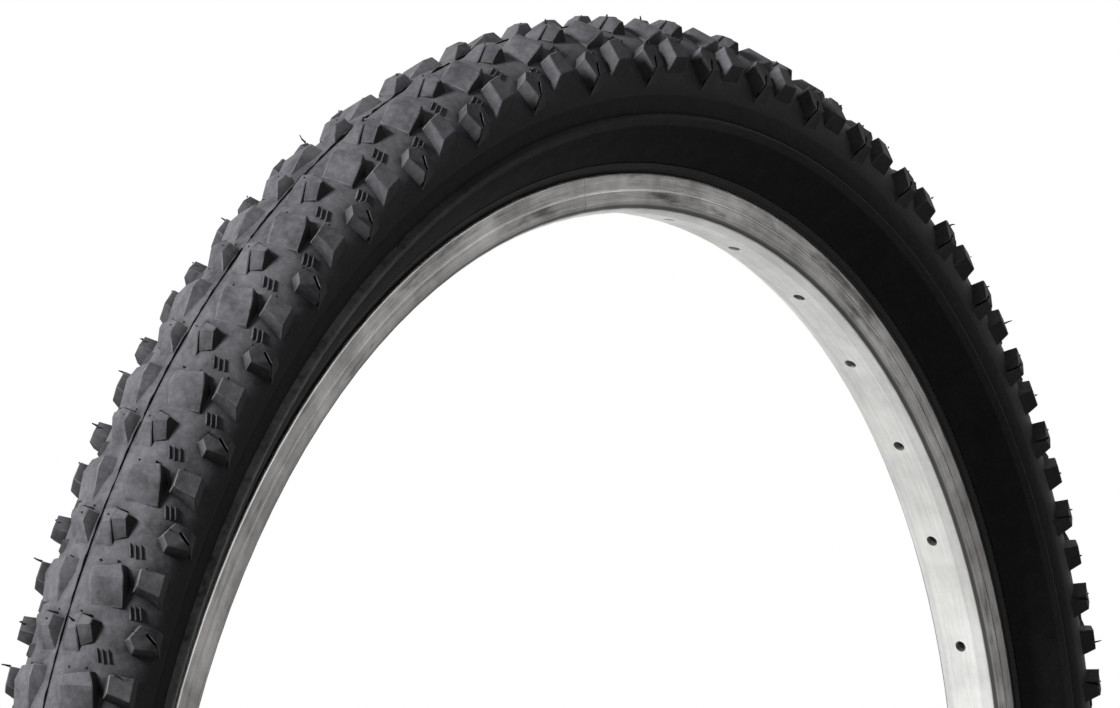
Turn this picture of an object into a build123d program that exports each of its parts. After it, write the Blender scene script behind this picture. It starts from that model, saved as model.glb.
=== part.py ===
"""Knobbly bicycle tyre on its bare alloy rim, with the inner tube and valve. Millimetres, axle along Y, +Z up."""

from build123d import *
import math
import os

os.makedirs("parts", exist_ok=True)

# ---------------------------------------------------------------- whole wheel
BOND_GAP = 0.3  # film of glue or air left between neighbouring layers
PITCHES = 56  # repeats of the tread pattern round the tyre
TREAD_PHASE = 154.981  # angle of the first mould split, from +X towards +Z

# ---------------------------------------------------------------- rim (26 in, ETRTO 559)
BEAD_SEAT_R = 279.5
FLANGE_H = 5.5
RIM_WIDTH = 24.4
FLANGE_T = 2.0
SEAT_EDGE_Y = 6.8  # half width of the well
WELL_DEPTH = 6.4
BED_T = 2.6  # metal under the well
WELL_R = BEAD_SEAT_R - WELL_DEPTH
RIM_FACE_R = WELL_R - BED_T  # hub-side face, where the spoke holes open
RIM_FACE_Y = 7.0  # half width of that face before it slopes to the corners
RIM_CORNER_R = RIM_FACE_R + 2.1
GROOVE_R = BEAD_SEAT_R - 0.5  # wear line turned into each braking face
SPOKES = 36
SPOKE_HOLE_D = 4.5
SPOKE_STAGGER = 0.68
VALVE_HOLE_D = 8.5
PIN_R, PIN_LEN = 1.4, 30.0
PIN_BORE_R = 1.75
PIN_BORE_Y, PIN_BORE_AT = 9.3, BEAD_SEAT_R - 3.7
RIM_JOINT = 0.15  # hairline between the rim ends

# ---------------------------------------------------------------- tyre section
SECTION_H = 58.5  # bead seat to the tread floor at the crown
HALF_WIDTH = 25.0  # half width of the section without knobs
CROWN_R = BEAD_SEAT_R + SECTION_H
SEC_R = CROWN_R - HALF_WIDTH  # centre of the section circle
CASING_INSET = 1.6
PLY = 0.5
BREAKER_T, BREAKER_HALF = 0.5, 76.0
TREAD_HALF = 88.0  # degrees of the section covered by the tread rubber, each side
FIN_H, FIN_HALF = 2.6, 0.5  # mould flash on the centre line
LEDGE_DROP, LEDGE_STEP = 6.4, 2.2  # rim-guard step, this far inside the widest ring
LEDGE_R = SEC_R - LEDGE_DROP
BEAD_R = BEAD_SEAT_R + 3.1
BEAD_Y = 7.1
WIRE_R = 1.1
TUBE_T = 0.9
TAPE_T = 0.6

# ---------------------------------------------------------------- valve (Schrader, 8V1)
STEM_R = 3.85
STEM_OUT = 32.5  # how far the stem stands out of the rim
STEM_TOP = STEM_OUT - RIM_FACE_R
CORE_R = 2.65  # bore that takes the core
CORE_DEPTH = 17.0
CAP_R, CAP_LEN = 5.0, 13.0
PIN_STROKE = 1.6
COILS, COIL_R, COIL_WIRE = 7, 1.15, 0.16

CAS_R = SEC_R - 1.5  # centre of the casing arcs
CAS = HALF_WIDTH - CASING_INSET  # outer radius of the casing arcs
PITCH_DEG = 360 / PITCHES
U_START, U_LEN = -4.05, 38.1  # pattern length coordinate, over one pitch
BEND = 140.0  # where the casing arcs turn into the straight run to the bead


def polar(centre, rho, deg):
    """Point of the section, deg measured from the crown round to the bead."""
    return (centre + rho * math.cos(math.radians(deg)), rho * math.sin(math.radians(deg)))


def arc(centre, rho, a0, a1):
    return ThreePointArc(*(polar(centre, rho, a) for a in (a0, (a0 + a1) / 2, a1)))


def path(*pts):
    """Straight edges through the points of a section."""
    return list(Polyline(*pts).edges()) if len(pts) > 2 else [Line(*pts)]


def ring(edges, turn=360.0):
    """Section edges made into a face and turned about the axle."""
    return revolve(make_face(edges), Axis.Y, revolution_arc=turn)


def both(edges):
    """The edges and their mirror image across the centre plane."""
    return list(edges) + [e.mirror(Plane.XZ) for e in edges]


def save(name, shape):
    export_step(shape, f"parts/{name}.step", write_pcurves=False)


def at_angle(shape, deg):
    """Turn a shape drawn on +X to the given angle, +X towards +Z."""
    return Rot(0, -deg, 0) * shape


# ---------------------------------------------------------------- rim group
def rim():
    top, w = BEAD_SEAT_R + FLANGE_H, RIM_WIDTH / 2
    inner = w - FLANGE_T
    half = path(
        (RIM_FACE_R, 0), (RIM_FACE_R, RIM_FACE_Y), (RIM_CORNER_R - 0.8, w - 2.0),
        (RIM_CORNER_R + 0.3, w - 0.7), (RIM_CORNER_R + 2.2, w),
        (GROOVE_R - 0.4, w), (GROOVE_R - 0.4, w - 0.25), (GROOVE_R + 0.4, w - 0.25),
        (GROOVE_R + 0.4, w), (top - FLANGE_T / 2, w),
    )
    half.append(ThreePointArc((top - FLANGE_T / 2, w), (top, w - FLANGE_T / 2),
                              (top - FLANGE_T / 2, inner)))
    half += path((top - FLANGE_T / 2, inner), (BEAD_SEAT_R, inner), (BEAD_SEAT_R, SEAT_EDGE_Y),
                 (WELL_R + 0.6, SEAT_EDGE_Y - 0.5), (WELL_R, SEAT_EDGE_Y - 1.1), (WELL_R, 0))
    body = ring(both(half))
    for side in (-1, 1):
        body -= revolve(Pos(PIN_BORE_AT, side * PIN_BORE_Y) * Circle(PIN_BORE_R), Axis.Y)
    drill = Rot(0, 90, 0) * Cylinder(SPOKE_HOLE_D / 2, 12)
    for k in range(SPOKES):
        turn = 5 + k * 360 / SPOKES
        hole = Pos(WELL_R - 1, SPOKE_STAGGER * (-1) ** k, 0) * drill
        body -= at_angle(hole, turn)
    body -= at_angle(Pos(WELL_R - 1, 0, 0) * Rot(0, 90, 0) * Cylinder(VALVE_HOLE_D / 2, 12), 270)
    depth = top - RIM_FACE_R
    body -= Pos(0, 0, RIM_FACE_R + depth / 2) * Box(RIM_JOINT, 2 * RIM_WIDTH, 2 * depth)
    return body


def rim_joint_pins():
    """Two steel pins across the hairline at the top of the rim."""
    rod = Rot(0, 90, 0) * Cylinder(PIN_R, PIN_LEN)
    return Compound([Pos(0, s * PIN_BORE_Y, PIN_BORE_AT - 0.2) * rod for s in (-1, 1)])


def stem_hole(radius):
    """Cutter along the valve axis through tape and tube."""
    return Pos(0, 0, -(WELL_R + 2)) * Cylinder(radius, 12)


def rim_tape():
    r0, y = WELL_R + BOND_GAP, SEAT_EDGE_Y - 1.4
    band = ring(path((r0, -y), (r0 + TAPE_T, -y), (r0 + TAPE_T, y), (r0, y), (r0, -y)))
    return band - stem_hole(VALVE_HOLE_D / 2)


# ---------------------------------------------------------------- tube and valve
def tube_section(inset):
    """Half outline of the tube, pulled in by inset."""
    rho = CAS - 2 * PLY - 2 * BOND_GAP - inset
    floor, neck = WELL_R + 2 * BOND_GAP + TAPE_T + inset, BEAD_Y - WIRE_R - 2.1 - inset
    wide, d = SEAT_EDGE_Y - 1.2 - inset, inset
    end = polar(CAS_R, rho, BEND - 4)
    half = [arc(CAS_R, rho, 0, BEND - 4)]
    half += path(end, (BEAD_R + 3.4 + 1.3 * d, neck), (BEAD_R - 2.4 - 0.4 * d, neck),
                 (BEAD_R - 4.2 - 0.4 * d, wide), (floor + 0.6, wide), (floor, wide - 0.6),
                 (floor, 0))
    return both(half)


def inner_tube():
    return ring(tube_section(0)) - ring(tube_section(TUBE_T)) - stem_hole(STEM_R + 0.1)


def foot_z():
    """Hub-side face of the valve base, just inside the tube."""
    return -(WELL_R + 3 * BOND_GAP + TAPE_T + TUBE_T)


def valve_base():
    pad = extrude(SlotOverall(24, 9.0), 1.2)
    return Pos(0, 0, foot_z() - 1.2) * pad - Pos(0, 0, foot_z()) * Cylinder(STEM_R + 0.1, 6)


def turned(*pts):
    """Solid of revolution about the valve axis from (radius, z) points."""
    face = make_face(Plane.XZ * Polyline(*pts, pts[0]))
    return revolve(face, Axis.Z)


def valve_stem():
    low = foot_z() - 1.3
    body = turned((0, low - 1.2), (3.6, low - 1.2), (3.6, low), (STEM_R, low),
                  (STEM_R, STEM_TOP - 0.6), (STEM_R - 0.6, STEM_TOP), (0, STEM_TOP))
    body -= Pos(0, 0, STEM_TOP - CORE_DEPTH / 2) * Cylinder(CORE_R, CORE_DEPTH)
    return body - Pos(0, 0, low) * Cylinder(1.5, 80)


def core_levels():
    """Heights of the core: top of plug, foot of plug, foot of barrel."""
    top = STEM_TOP - 1.2
    return top, top - 5.0, top - 12.6


def valve_core_body():
    top, plug, foot = core_levels()
    return turned((1.55, top), (CORE_R - 0.1, top), (CORE_R - 0.1, plug), (1.95, plug),
                  (1.95, foot), (0.75, foot), (0.75, foot + 0.8), (1.55, foot + 0.8))


def valve_core_gasket():
    _, plug, _ = core_levels()
    return turned((2.0, plug - 0.1), (CORE_R - 0.05, plug - 0.1), (2.35, plug - 2.1), (2.0, plug - 2.1))


def valve_core_pin():
    top, _, foot = core_levels()
    return turned((0, top + 0.8), (0.75, top + 0.8), (0.75, top - 3.2), (1.4, top - 3.2), (1.4, top - 4.0),
                  (0.5, top - 4.0), (0.5, foot - 0.75), (1.7, foot - 0.75), (1.7, foot - 1.6), (0, foot - 1.6))


def valve_core_seal():
    _, _, foot = core_levels()
    return turned((0.6, foot - 0.1), (1.65, foot - 0.1), (1.65, foot - 0.65), (0.6, foot - 0.65))


def spring_levels():
    top, _, foot = core_levels()
    return foot + 0.85 + COIL_WIRE, top - 4.05 - COIL_WIRE


def valve_core_spring():
    low, high = spring_levels()
    pitch = (high - low) / COILS
    line = Helix(pitch, high - low, COIL_R)
    wire = sweep(Plane(line @ 0, z_dir=line % 0) * Circle(COIL_WIRE), line)
    print(f"core spring: least gap {pitch * (1 - PIN_STROKE / (high - low)) - 2 * COIL_WIRE:.2f} mm")
    return Pos(0, 0, low) * wire


def valve_cap():
    top = STEM_TOP + 2.4
    body = turned((0, top), (CAP_R - 0.8, top), (CAP_R, top - 0.8), (CAP_R, top - CAP_LEN),
                  (STEM_R + 0.15, top - CAP_LEN), (STEM_R + 0.15, top - 1.4), (0, top - 1.4))
    flute = Pos(CAP_R + 0.25, 0, top - 7.5) * Cylinder(0.5, 8)
    for k in range(16):
        body -= Rot(0, 0, k * 22.5) * flute
    return body


def cap_seal():
    return turned((0, STEM_TOP + 0.9), (STEM_R, STEM_TOP + 0.9), (STEM_R, STEM_TOP + 0.2),
                  (0, STEM_TOP + 0.2))


def valve_nut():
    low = -RIM_FACE_R + 0.2
    body = turned((STEM_R + 0.15, low), (6.8, low), (6.8, low + 2.0), (6.2, low + 2.6),
                  (STEM_R + 0.15, low + 2.6))
    for k in range(24):
        body -= Rot(0, 0, k * 15) * Pos(6.95, 0, low + 1.3) * Cylinder(0.35, 3)
    return body


# ---------------------------------------------------------------- tyre layers
def bead_run():
    """Straight run of the casing from the arc end to the bead, with its direction and outward normal."""
    start, end = (BEAD_R + 2.6, BEAD_Y + WIRE_R + 0.8), polar(CAS_R, CAS, BEND)
    length = math.dist(start, end)
    t = ((end[0] - start[0]) / length, (end[1] - start[1]) / length)
    return start, t, (-t[1], t[0])


def ply_side(rho, y_foot, top_r):
    """One face of the casing, from the arc end to level with the wire."""
    return [polar(CAS_R, rho, BEND), (top_r, y_foot), (BEAD_R, y_foot)]


def wrap(radius):
    """Half turn under the bead wire."""
    return ThreePointArc((BEAD_R, BEAD_Y + radius), (BEAD_R - radius, BEAD_Y), (BEAD_R, BEAD_Y - radius))


def casing():
    """One cloth: bead to bead under the tread, turned up round both wires and back to the crown."""
    out, inn = WIRE_R + BOND_GAP + PLY, WIRE_R + BOND_GAP
    step, tip = PLY + BOND_GAP, 4.0
    half = [arc(CAS_R, CAS, tip, BEND), *path(*ply_side(CAS, BEAD_Y + out, BEAD_R + 2.6)), wrap(out)]
    half += path(*ply_side(CAS - step - PLY, BEAD_Y - out, BEAD_R + 1.6)[::-1])
    half.append(arc(CAS_R, CAS - step - PLY, 0, BEND))
    half += path(polar(CAS_R, CAS, tip), polar(CAS_R, CAS - PLY, tip))
    half += [arc(CAS_R, CAS - PLY, tip, BEND), *path(*ply_side(CAS - PLY, BEAD_Y + inn, BEAD_R + 2.6))]
    half += [wrap(inn), *path(*ply_side(CAS - step, BEAD_Y - inn, BEAD_R + 1.6)[::-1])]
    half.append(arc(CAS_R, CAS - step, 0, BEND))
    return ring(both(half))


def bead_wire(side):
    return revolve(Pos(BEAD_R, side * BEAD_Y) * Circle(WIRE_R), Axis.Y)


def bead_filler(side):
    """Rubber wedge above the wire, between the two casing layers."""
    (r0, y0), t, n = bead_run()
    gap = PLY + BOND_GAP + 0.02
    low = r0 - 0.9
    a = (r0 - n[0] * gap, y0 - n[1] * gap)
    pts = [(low, BEAD_Y - 0.6), (low, BEAD_Y + WIRE_R - 0.05), (a[0], a[1]),
           (a[0] + 3.2 * t[0], a[1] + 3.2 * t[1]), (a[0] + 3.2 * t[0] + 0.15, a[1] + 3.2 * t[1] - 0.4)]
    return ring(path(*((r, side * y) for r, y in pts + pts[:1])))


def chafer(side):
    """Abrasion strip round the bead, with the fine centring line above the flange."""
    (r0, y0), t, n = bead_run()
    g0, g1, run = BOND_GAP, BOND_GAP + 0.6, 5.0

    def along(s, off):
        return (r0 + s * t[0] + off * n[0], y0 + s * t[1] + off * n[1])

    rad0, rad1 = WIRE_R + 2 * BOND_GAP + PLY, WIRE_R + 2 * BOND_GAP + PLY + 0.6
    toe = BEAD_R + 1.8
    lines = path((BEAD_R, BEAD_Y + rad0), (r0 - 0.1, BEAD_Y + rad0), along(run, g0), along(run, g1),
                 along(3.2, g1), along(2.9, g1 + 0.4), along(2.6, g1), (r0 - 0.3, BEAD_Y + rad1),
                 (BEAD_R, BEAD_Y + rad1))
    lines += [wrap(rad1), *path((BEAD_R, BEAD_Y - rad1), (toe, BEAD_Y - rad1), (toe, BEAD_Y - rad0),
                                (BEAD_R, BEAD_Y - rad0)), wrap(rad0)]
    body = ring(lines)
    return body if side > 0 else body.mirror(Plane.XZ)


def breaker():
    rho, half = CAS + BOND_GAP, BREAKER_HALF
    return ring([arc(CAS_R, rho, -half, half), arc(CAS_R, rho + BREAKER_T, -half, half)]
                + path(polar(CAS_R, rho, -half), polar(CAS_R, rho + BREAKER_T, -half))
                + path(polar(CAS_R, rho, half), polar(CAS_R, rho + BREAKER_T, half)))


def sidewall(side):
    (r0, y0), t, n = bead_run()
    top = TREAD_HALF + 1.0
    ledge = math.degrees(math.acos((LEDGE_R - SEC_R) / HALF_WIDTH))
    y_step = polar(SEC_R, HALF_WIDTH, ledge)[1] + LEDGE_STEP
    foot_in = (r0 + 5.5 * t[0] + BOND_GAP * n[0], y0 + 5.5 * t[1] + BOND_GAP * n[1])
    foot_out = (foot_in[0] + 0.65 * n[0], foot_in[1] + 0.65 * n[1])
    mid = (0.5 * (LEDGE_R + foot_out[0]), 0.5 * (y_step + foot_out[1]) + 2.0)
    edges = [arc(SEC_R, HALF_WIDTH, top, ledge), arc(CAS_R, CAS + BOND_GAP, top + 0.5, BEND)]
    edges += path(polar(SEC_R, HALF_WIDTH, ledge), (LEDGE_R - 1.0, y_step))
    edges.append(ThreePointArc((LEDGE_R - 1.0, y_step), mid, foot_out))
    edges += path(foot_out, foot_in, polar(CAS_R, CAS + BOND_GAP, BEND))
    edges += path(polar(SEC_R, HALF_WIDTH, top), polar(CAS_R, CAS + BOND_GAP, top + 0.5))
    body = ring(edges)
    return body if side > 0 else body.mirror(Plane.XZ)


# ---------------------------------------------------------------- tread knobs
# Stations along u (mm round the crown): u of the inner and outer corner, their angles, and the height.
# Then how much higher the first outer corner is, how far the foot spreads in u at each end, and how far
# it spreads inwards and outwards in degrees at the middle station.
LARGE = ([(-3.2, -1.7, 16.0, 40.2, 0.2), (5.8, 7.4, 13.4, 35.0, 3.9), (9.3, 12.4, 13.0, 30.8, 3.5)],
         0.8, 0.2, 0.5, 8.5, 8.0)
SMALL_IN = ([(18.4, 18.6, 3.6, 17.8, 0.2), (24.9, 25.6, 8.3, 14.2, 3.9), (29.7, 30.9, 7.2, 16.0, 3.7)],
            0.0, 0.3, 0.6, 6.0, 5.0)
SMALL_OUT = ([(20.7, 22.6, 18.0, 26.4, 0.3), (26.3, 27.6, 13.0, 23.2, 4.3), (30.9, 29.7, 13.0, 23.8, 4.2)],
             0.6, 0.3, 1.0, 3.0, 6.3)
SHOULDER_SLOT = ([(23.0, 25.0, 55.0, 69.3, 5.1), (26.0, 28.4, 50.1, 68.4, 5.1), (31.7, 32.2, 55.0, 67.5, 5.1)],
                 0.0, 1.5, 0.8, 1.0, 14.0)
SHOULDER_PLAIN = ([(5.9, 4.7, 44.8, 61.3, 5.0), (12.3, 13.4, 44.0, 60.6, 5.0)], 0.0, 1.3, 0.3, 1.0, 10.8)
FOOT_DEPTH = 0.4  # how deep the foot of a knob runs into the band
FAR_REACH = 3.0  # the far row of large knobs is longer at its inner corner
FACETS, UNDER_FACETS, SLICES = 6, 5, 2  # flats across half the floor, half the underside, and round a pitch
UNDER_EASE = 0.35  # room for the flats of the underside over the breaker
UNDER_SHORT = 2.7  # degrees by which the underside stops short, clear of the sidewall


def spot(u, deg, h, side):
    """Point above the tread floor: u round the crown, deg across the section, h above the floor."""
    r, y = polar(SEC_R, HALF_WIDTH + h, deg)
    a = math.radians((u - U_START) / U_LEN * PITCH_DEG)
    return Vector(r * math.cos(a), side * y, -r * math.sin(a))


def plane(a, b, c):
    """Plane through three points, as its unit normal and its distance from the origin."""
    n = (b - a).cross(c - a).normalized()
    return n, n.dot(a)


def corner(p, q, r):
    """Point shared by three planes."""
    (n1, d1), (n2, d2), (n3, d3) = p, q, r
    cross = n2.cross(n3)
    return (cross * d1 + n3.cross(n1) * d2 + n1.cross(n2) * d3) * (1 / n1.dot(cross))


def level(point):
    """Plane across the given point, square to the line from the section's centre."""
    ring_r = math.hypot(point.X, point.Z)
    centre = Vector(point.X * SEC_R / ring_r, 0, point.Z * SEC_R / ring_r)
    n = (point - centre).normalized()
    return n, n.dot(point)


def along_to(guess, face):
    """The guess moved round the axle onto a plane."""
    around, (n, d) = Vector(-guess.Z, 0, guess.X).normalized(), face
    return guess + around * ((d - n.dot(guess)) / n.dot(around))


def dropped(guess, face):
    """The guess moved straight up or down from the tread floor onto a plane."""
    (across, _), (n, d) = level(guess), face
    return guess + across * ((d - n.dot(guess)) / n.dot(across))


def polyhedron(faces):
    return Solid(Shell([Face(Wire.make_polygon(f)) for f in faces]))


def knob(spec, side, reach=0.0):
    """Block with flat facets from its stations; neighbouring facets share their corners."""
    stations, lift, du0, du1, d_in, d_out = spec
    last = len(stations) - 1
    full = 1 if last > 1 else 0  # the walls take their slope here
    top = []
    for k, (u_in, u_out, a_in, a_out, h) in enumerate(stations):
        u_in += reach * k / last
        pair = [spot(u_in, a_in, h, side), spot(u_out, a_out, h + lift, side)]
        if top:
            pair[1] = dropped(pair[1], plane(*top[-1], pair[0]))
        top.append(pair)
    middle = [spot((u_in + u_out) / 2, (a_in + a_out + d_out - d_in) / 2, -FOOT_DEPTH, side)
              for u_in, u_out, a_in, a_out, _ in stations]
    u_in, u_out, a_in, a_out, _ = stations[full]
    feet = {full: [spot(u_in + reach * full / last, a_in - d_in, -FOOT_DEPTH, side),
                   spot(u_out, a_out + d_out, -FOOT_DEPTH, side)]}
    for k, du in ((0, -du0), (last, du1)):
        u_in, u_out, a_in, a_out, _ = stations[k]
        u_in += reach * k / last
        end = plane(*top[k], spot((u_in + u_out) / 2 + du, (a_in + a_out) / 2, -FOOT_DEPTH, side))
        near = 1 if k == 0 else last - 1
        pair = []
        for i, angle in ((0, a_in - d_in), (1, a_out + d_out)):
            wall = plane(top[k][i], top[near][i], feet[full][i])
            pair.append(corner(end, wall, level(spot((u_in, u_out)[i], angle, -FOOT_DEPTH, side))))
        if k != full or last == 1:
            feet[k] = pair
        middle[k] = along_to(middle[k], end)
    rows = [(feet[k][0], *top[k], feet[k][1], middle[k]) for k in range(last + 1)]
    faces = [rows[0], rows[-1]]
    for p, q in zip(rows, rows[1:]):
        faces += [(p[i], p[i + 1], q[i + 1], q[i]) for i in range(3)]
        for i, j in ((3, 4), (4, 0)):
            faces += [(p[i], p[j], q[j]), (p[i], q[j], q[i])]
    return polyhedron(faces)


def slot_cutter(side):
    """Diagonal cut across the outer corner of a slotted shoulder knob."""
    a, b = spot(29.6, 62.0, 5.6, side), spot(26.8, 79.0, 3.4, side)
    mid, run = (a + b) * 0.5, b - a
    outward = Vector(mid.X - SEC_R * mid.X / math.hypot(mid.X, mid.Z), mid.Y,
                     mid.Z - SEC_R * mid.Z / math.hypot(mid.X, mid.Z))
    return Plane(mid, x_dir=run, z_dir=outward - run * (outward.dot(run) / run.dot(run))) * Box(
        run.length + 3, 1.0, 4.2)


def tread_pitch():
    """One repeat of the tread: band, flash line and knobs."""
    inner = CAS + 2 * BOND_GAP + BREAKER_T + UNDER_EASE
    floor = [polar(SEC_R, HALF_WIDTH, TREAD_HALF * k / FACETS) for k in range(1, FACETS + 1)]
    under = [polar(CAS_R, inner, (TREAD_HALF - UNDER_SHORT) * k / UNDER_FACETS)
             for k in range(UNDER_FACETS, 0, -1)]
    half = [(CROWN_R, FIN_HALF)] + floor + under
    loop = [(CROWN_R + FIN_H, 0)] + half + [(CAS_R + inner, 0)]
    loop += [(r, -y) for r, y in half[::-1]]
    rows = []
    for k in range(SLICES + 1):
        a = math.radians(PITCH_DEG * k / SLICES)
        rows.append([Vector(r * math.cos(a), y, -r * math.sin(a)) for r, y in loop])
    skin = [rows[0], rows[-1]]
    for p, q in zip(rows, rows[1:]):
        skin += [(p[i - 1], p[i], q[i], q[i - 1]) for i in range(len(loop))]
    body = polyhedron(skin)
    blocks = []
    for side in (-1, 1):
        blocks += [knob(LARGE, side, 0.0 if side < 0 else FAR_REACH), knob(SMALL_IN, side), knob(SMALL_OUT, side)]
        blocks += [knob(SHOULDER_SLOT, side) - slot_cutter(side), knob(SHOULDER_PLAIN, side)]
    return body.fuse(*blocks)


def tread():
    """The pitch repeated round the wheel and sewn into one moulding."""
    pitch = tread_pitch()
    ends = [Plane((0, 0, 0), z_dir=(0, 0, 1)),
            Plane((0, 0, 0), z_dir=Vector(0, 0, 1).rotate(Axis.Y, PITCH_DEG))]

    def is_cut(face):
        return any(abs((face.center() - p.origin).dot(p.z_dir)) < 1e-4
                   and abs(abs(face.normal_at().dot(p.z_dir)) - 1) < 1e-6 for p in ends)

    skin = [f for f in pitch.faces() if not is_cut(f)]
    copies = [f.rotate(Axis.Y, k * PITCH_DEG - TREAD_PHASE) for k in range(PITCHES) for f in skin]
    return Solid(Shell(copies))


def main():
    save("rim", rim())
    save("rim_joint_pins", rim_joint_pins())
    save("rim_tape", rim_tape())
    save("inner_tube", inner_tube())
    save("valve_base", valve_base())
    save("valve_stem", valve_stem())
    save("valve_core_body", valve_core_body())
    save("valve_core_gasket", valve_core_gasket())
    save("valve_core_pin", valve_core_pin())
    save("valve_core_seal", valve_core_seal())
    save("valve_core_spring", valve_core_spring())
    save("valve_cap", valve_cap())
    save("cap_seal", cap_seal())
    save("valve_nut", valve_nut())
    save("casing", casing())
    save("breaker", breaker())
    for name, side in (("left", -1), ("right", 1)):
        save(f"bead_wire_{name}", bead_wire(side))
        save(f"bead_filler_{name}", bead_filler(side))
        save(f"chafer_{name}", chafer(side))
        save(f"sidewall_{name}", sidewall(side))
    save("tread", tread())


main()
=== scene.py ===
"""Knobbly off-road bicycle tyre on a bare alloy rim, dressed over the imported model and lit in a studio."""

from __future__ import annotations

import logging
import math
from dataclasses import dataclass, field
from enum import IntEnum

import bmesh
import bpy
import numpy as np
from mathutils import Matrix, Vector

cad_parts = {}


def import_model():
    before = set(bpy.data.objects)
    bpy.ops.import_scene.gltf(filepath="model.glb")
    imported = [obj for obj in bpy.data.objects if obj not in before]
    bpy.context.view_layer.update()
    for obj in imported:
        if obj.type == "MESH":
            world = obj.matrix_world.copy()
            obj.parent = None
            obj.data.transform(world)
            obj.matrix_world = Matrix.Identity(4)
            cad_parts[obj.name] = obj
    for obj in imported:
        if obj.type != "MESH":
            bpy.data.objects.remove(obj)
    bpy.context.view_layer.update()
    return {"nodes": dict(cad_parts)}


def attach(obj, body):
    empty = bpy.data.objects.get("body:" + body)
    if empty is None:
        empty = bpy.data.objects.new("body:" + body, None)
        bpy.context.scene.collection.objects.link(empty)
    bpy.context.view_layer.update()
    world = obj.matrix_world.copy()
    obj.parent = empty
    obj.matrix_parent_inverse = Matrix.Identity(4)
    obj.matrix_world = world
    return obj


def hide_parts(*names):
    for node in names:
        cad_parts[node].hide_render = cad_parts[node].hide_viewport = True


LOG = logging.getLogger("tyre")
MM = 0.001
HOOP_STEPS = 448  # copies of a section round the wheel, eight to a repeat of the tread pattern
CREASE_DEG = 28.0  # faces that meet at a sharper bend than this show an edge
ARC_RADIUS = 0.28  # metres: lengths along the hoop are measured on a circle of about the rim's size
MIX_A, MIX_B, MIX_OUT = 6, 7, 2  # numbers of a Mix node's colour sockets


class Side(IntEnum):
    """Side of the wheel, as the sign of its y."""

    LEFT = -1
    RIGHT = 1

    @property
    def word(self) -> str:
        """The side as it stands in the names of nodes and pieces."""
        return self.name.lower()


class KnobFace(IntEnum):
    """Material slot of a knob's face."""

    PLAIN = 0
    # eased edges, with a painted highlight
    EDGE = 1
    # walls facing the sidewall: unworn rubber with painted shade
    WALL = 2


class SidewallZone(IntEnum):
    """Material slot of a stretch of the sidewall."""

    PLAIN = 0
    LEDGE = 1
    HOLLOW = 2


# ---------------------------------------------------------------- helpers for nodes, colours and meshes
def srgb(code: str) -> tuple[float, float, float, float]:
    """Turns an sRGB hex colour to linear light.

    Args:
        code: six hex digits after a hash sign.
    Returns:
        Red, green, blue and an alpha of 1.
    """
    parts = [int(code[i:i + 2], 16) / 255 for i in (1, 3, 5)]
    return (*(p / 12.92 if p <= 0.04045 else ((p + 0.055) / 1.055) ** 2.4 for p in parts), 1.0)


def add_node(tree: bpy.types.NodeTree, kind: str, settings: dict | None = None, links: dict | None = None,
             stops: tuple[tuple[float, str], ...] = ()) -> bpy.types.Node:
    """Adds a node with its settings and links.

    Args:
        tree: the node tree to add to.
        kind: the node's type name without its prefix.
        settings: attributes by name, or input values by socket name or number.
        links: output sockets by input name or number.
        stops: place and sRGB hex colour of each of a colour ramp's two stops.
    Returns:
        The new node.
    """
    node = tree.nodes.new("ShaderNode" + kind)
    for key, value in (settings or {}).items():
        if isinstance(key, str) and hasattr(node, key):
            setattr(node, key, value)
        else:
            node.inputs[key].default_value = value
    for key, value in (links or {}).items():
        tree.links.new(value, node.inputs[key])
    for number, (place, code) in enumerate(stops):
        node.color_ramp.elements[number].position = place
        node.color_ramp.elements[number].color = srgb(code)
    return node


def outwards(mesh: bpy.types.Mesh) -> None:
    """Turns every face of closed shapes outwards.

    Args:
        mesh: the mesh to turn.
    """
    work = bmesh.new()
    work.from_mesh(mesh)
    bmesh.ops.recalc_face_normals(work, faces=work.faces)
    work.to_mesh(mesh)
    work.free()


def read_rows(items: bpy.types.bpy_prop_collection, name: str) -> np.ndarray:
    """Reads a vector from every vertex or face.

    Args:
        items: the vertices or faces.
        name: the vector's attribute.
    Returns:
        One row of x, y and z for each.
    """
    values = np.empty(len(items) * 3)
    items.foreach_get(name, values)
    return values.reshape(-1, 3)


def add_piece(name: str, points: np.ndarray, faces: list | np.ndarray, finishes: tuple[Finish, ...],
              stands_for: tuple[str, ...] = (), zones: np.ndarray | None = None) -> None:
    """Puts a mesh in the scene, hangs it on the wheel's body and hides the nodes that it takes the place of.

    Args:
        name: the piece's name.
        points: corner positions in millimetres, one row each.
        faces: corner numbers of each face.
        finishes: the finishes that it wears.
        stands_for: the nodes that it takes the place of.
        zones: number of each face's finish, or none where there is one finish.
    """
    mesh = bpy.data.meshes.new(name)
    mesh.from_pydata((points * MM).tolist(), [], faces.tolist() if isinstance(faces, np.ndarray) else faces)
    mesh.validate()
    mesh.polygons.foreach_set("use_smooth", np.ones(len(mesh.polygons), dtype=bool))
    mesh.set_sharp_from_angle(angle=math.radians(CREASE_DEG))
    for finish in finishes:
        mesh.materials.append(finish.material())
    if zones is not None:
        mesh.polygons.foreach_set("material_index", zones.astype(np.int32))
    outwards(mesh)
    piece = bpy.data.objects.new(name, mesh)
    bpy.context.scene.collection.objects.link(piece)
    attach(piece, "wheel")
    if stands_for:
        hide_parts(*stands_for)
    LOG.info("%s: %d faces", name, len(mesh.polygons))


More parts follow.
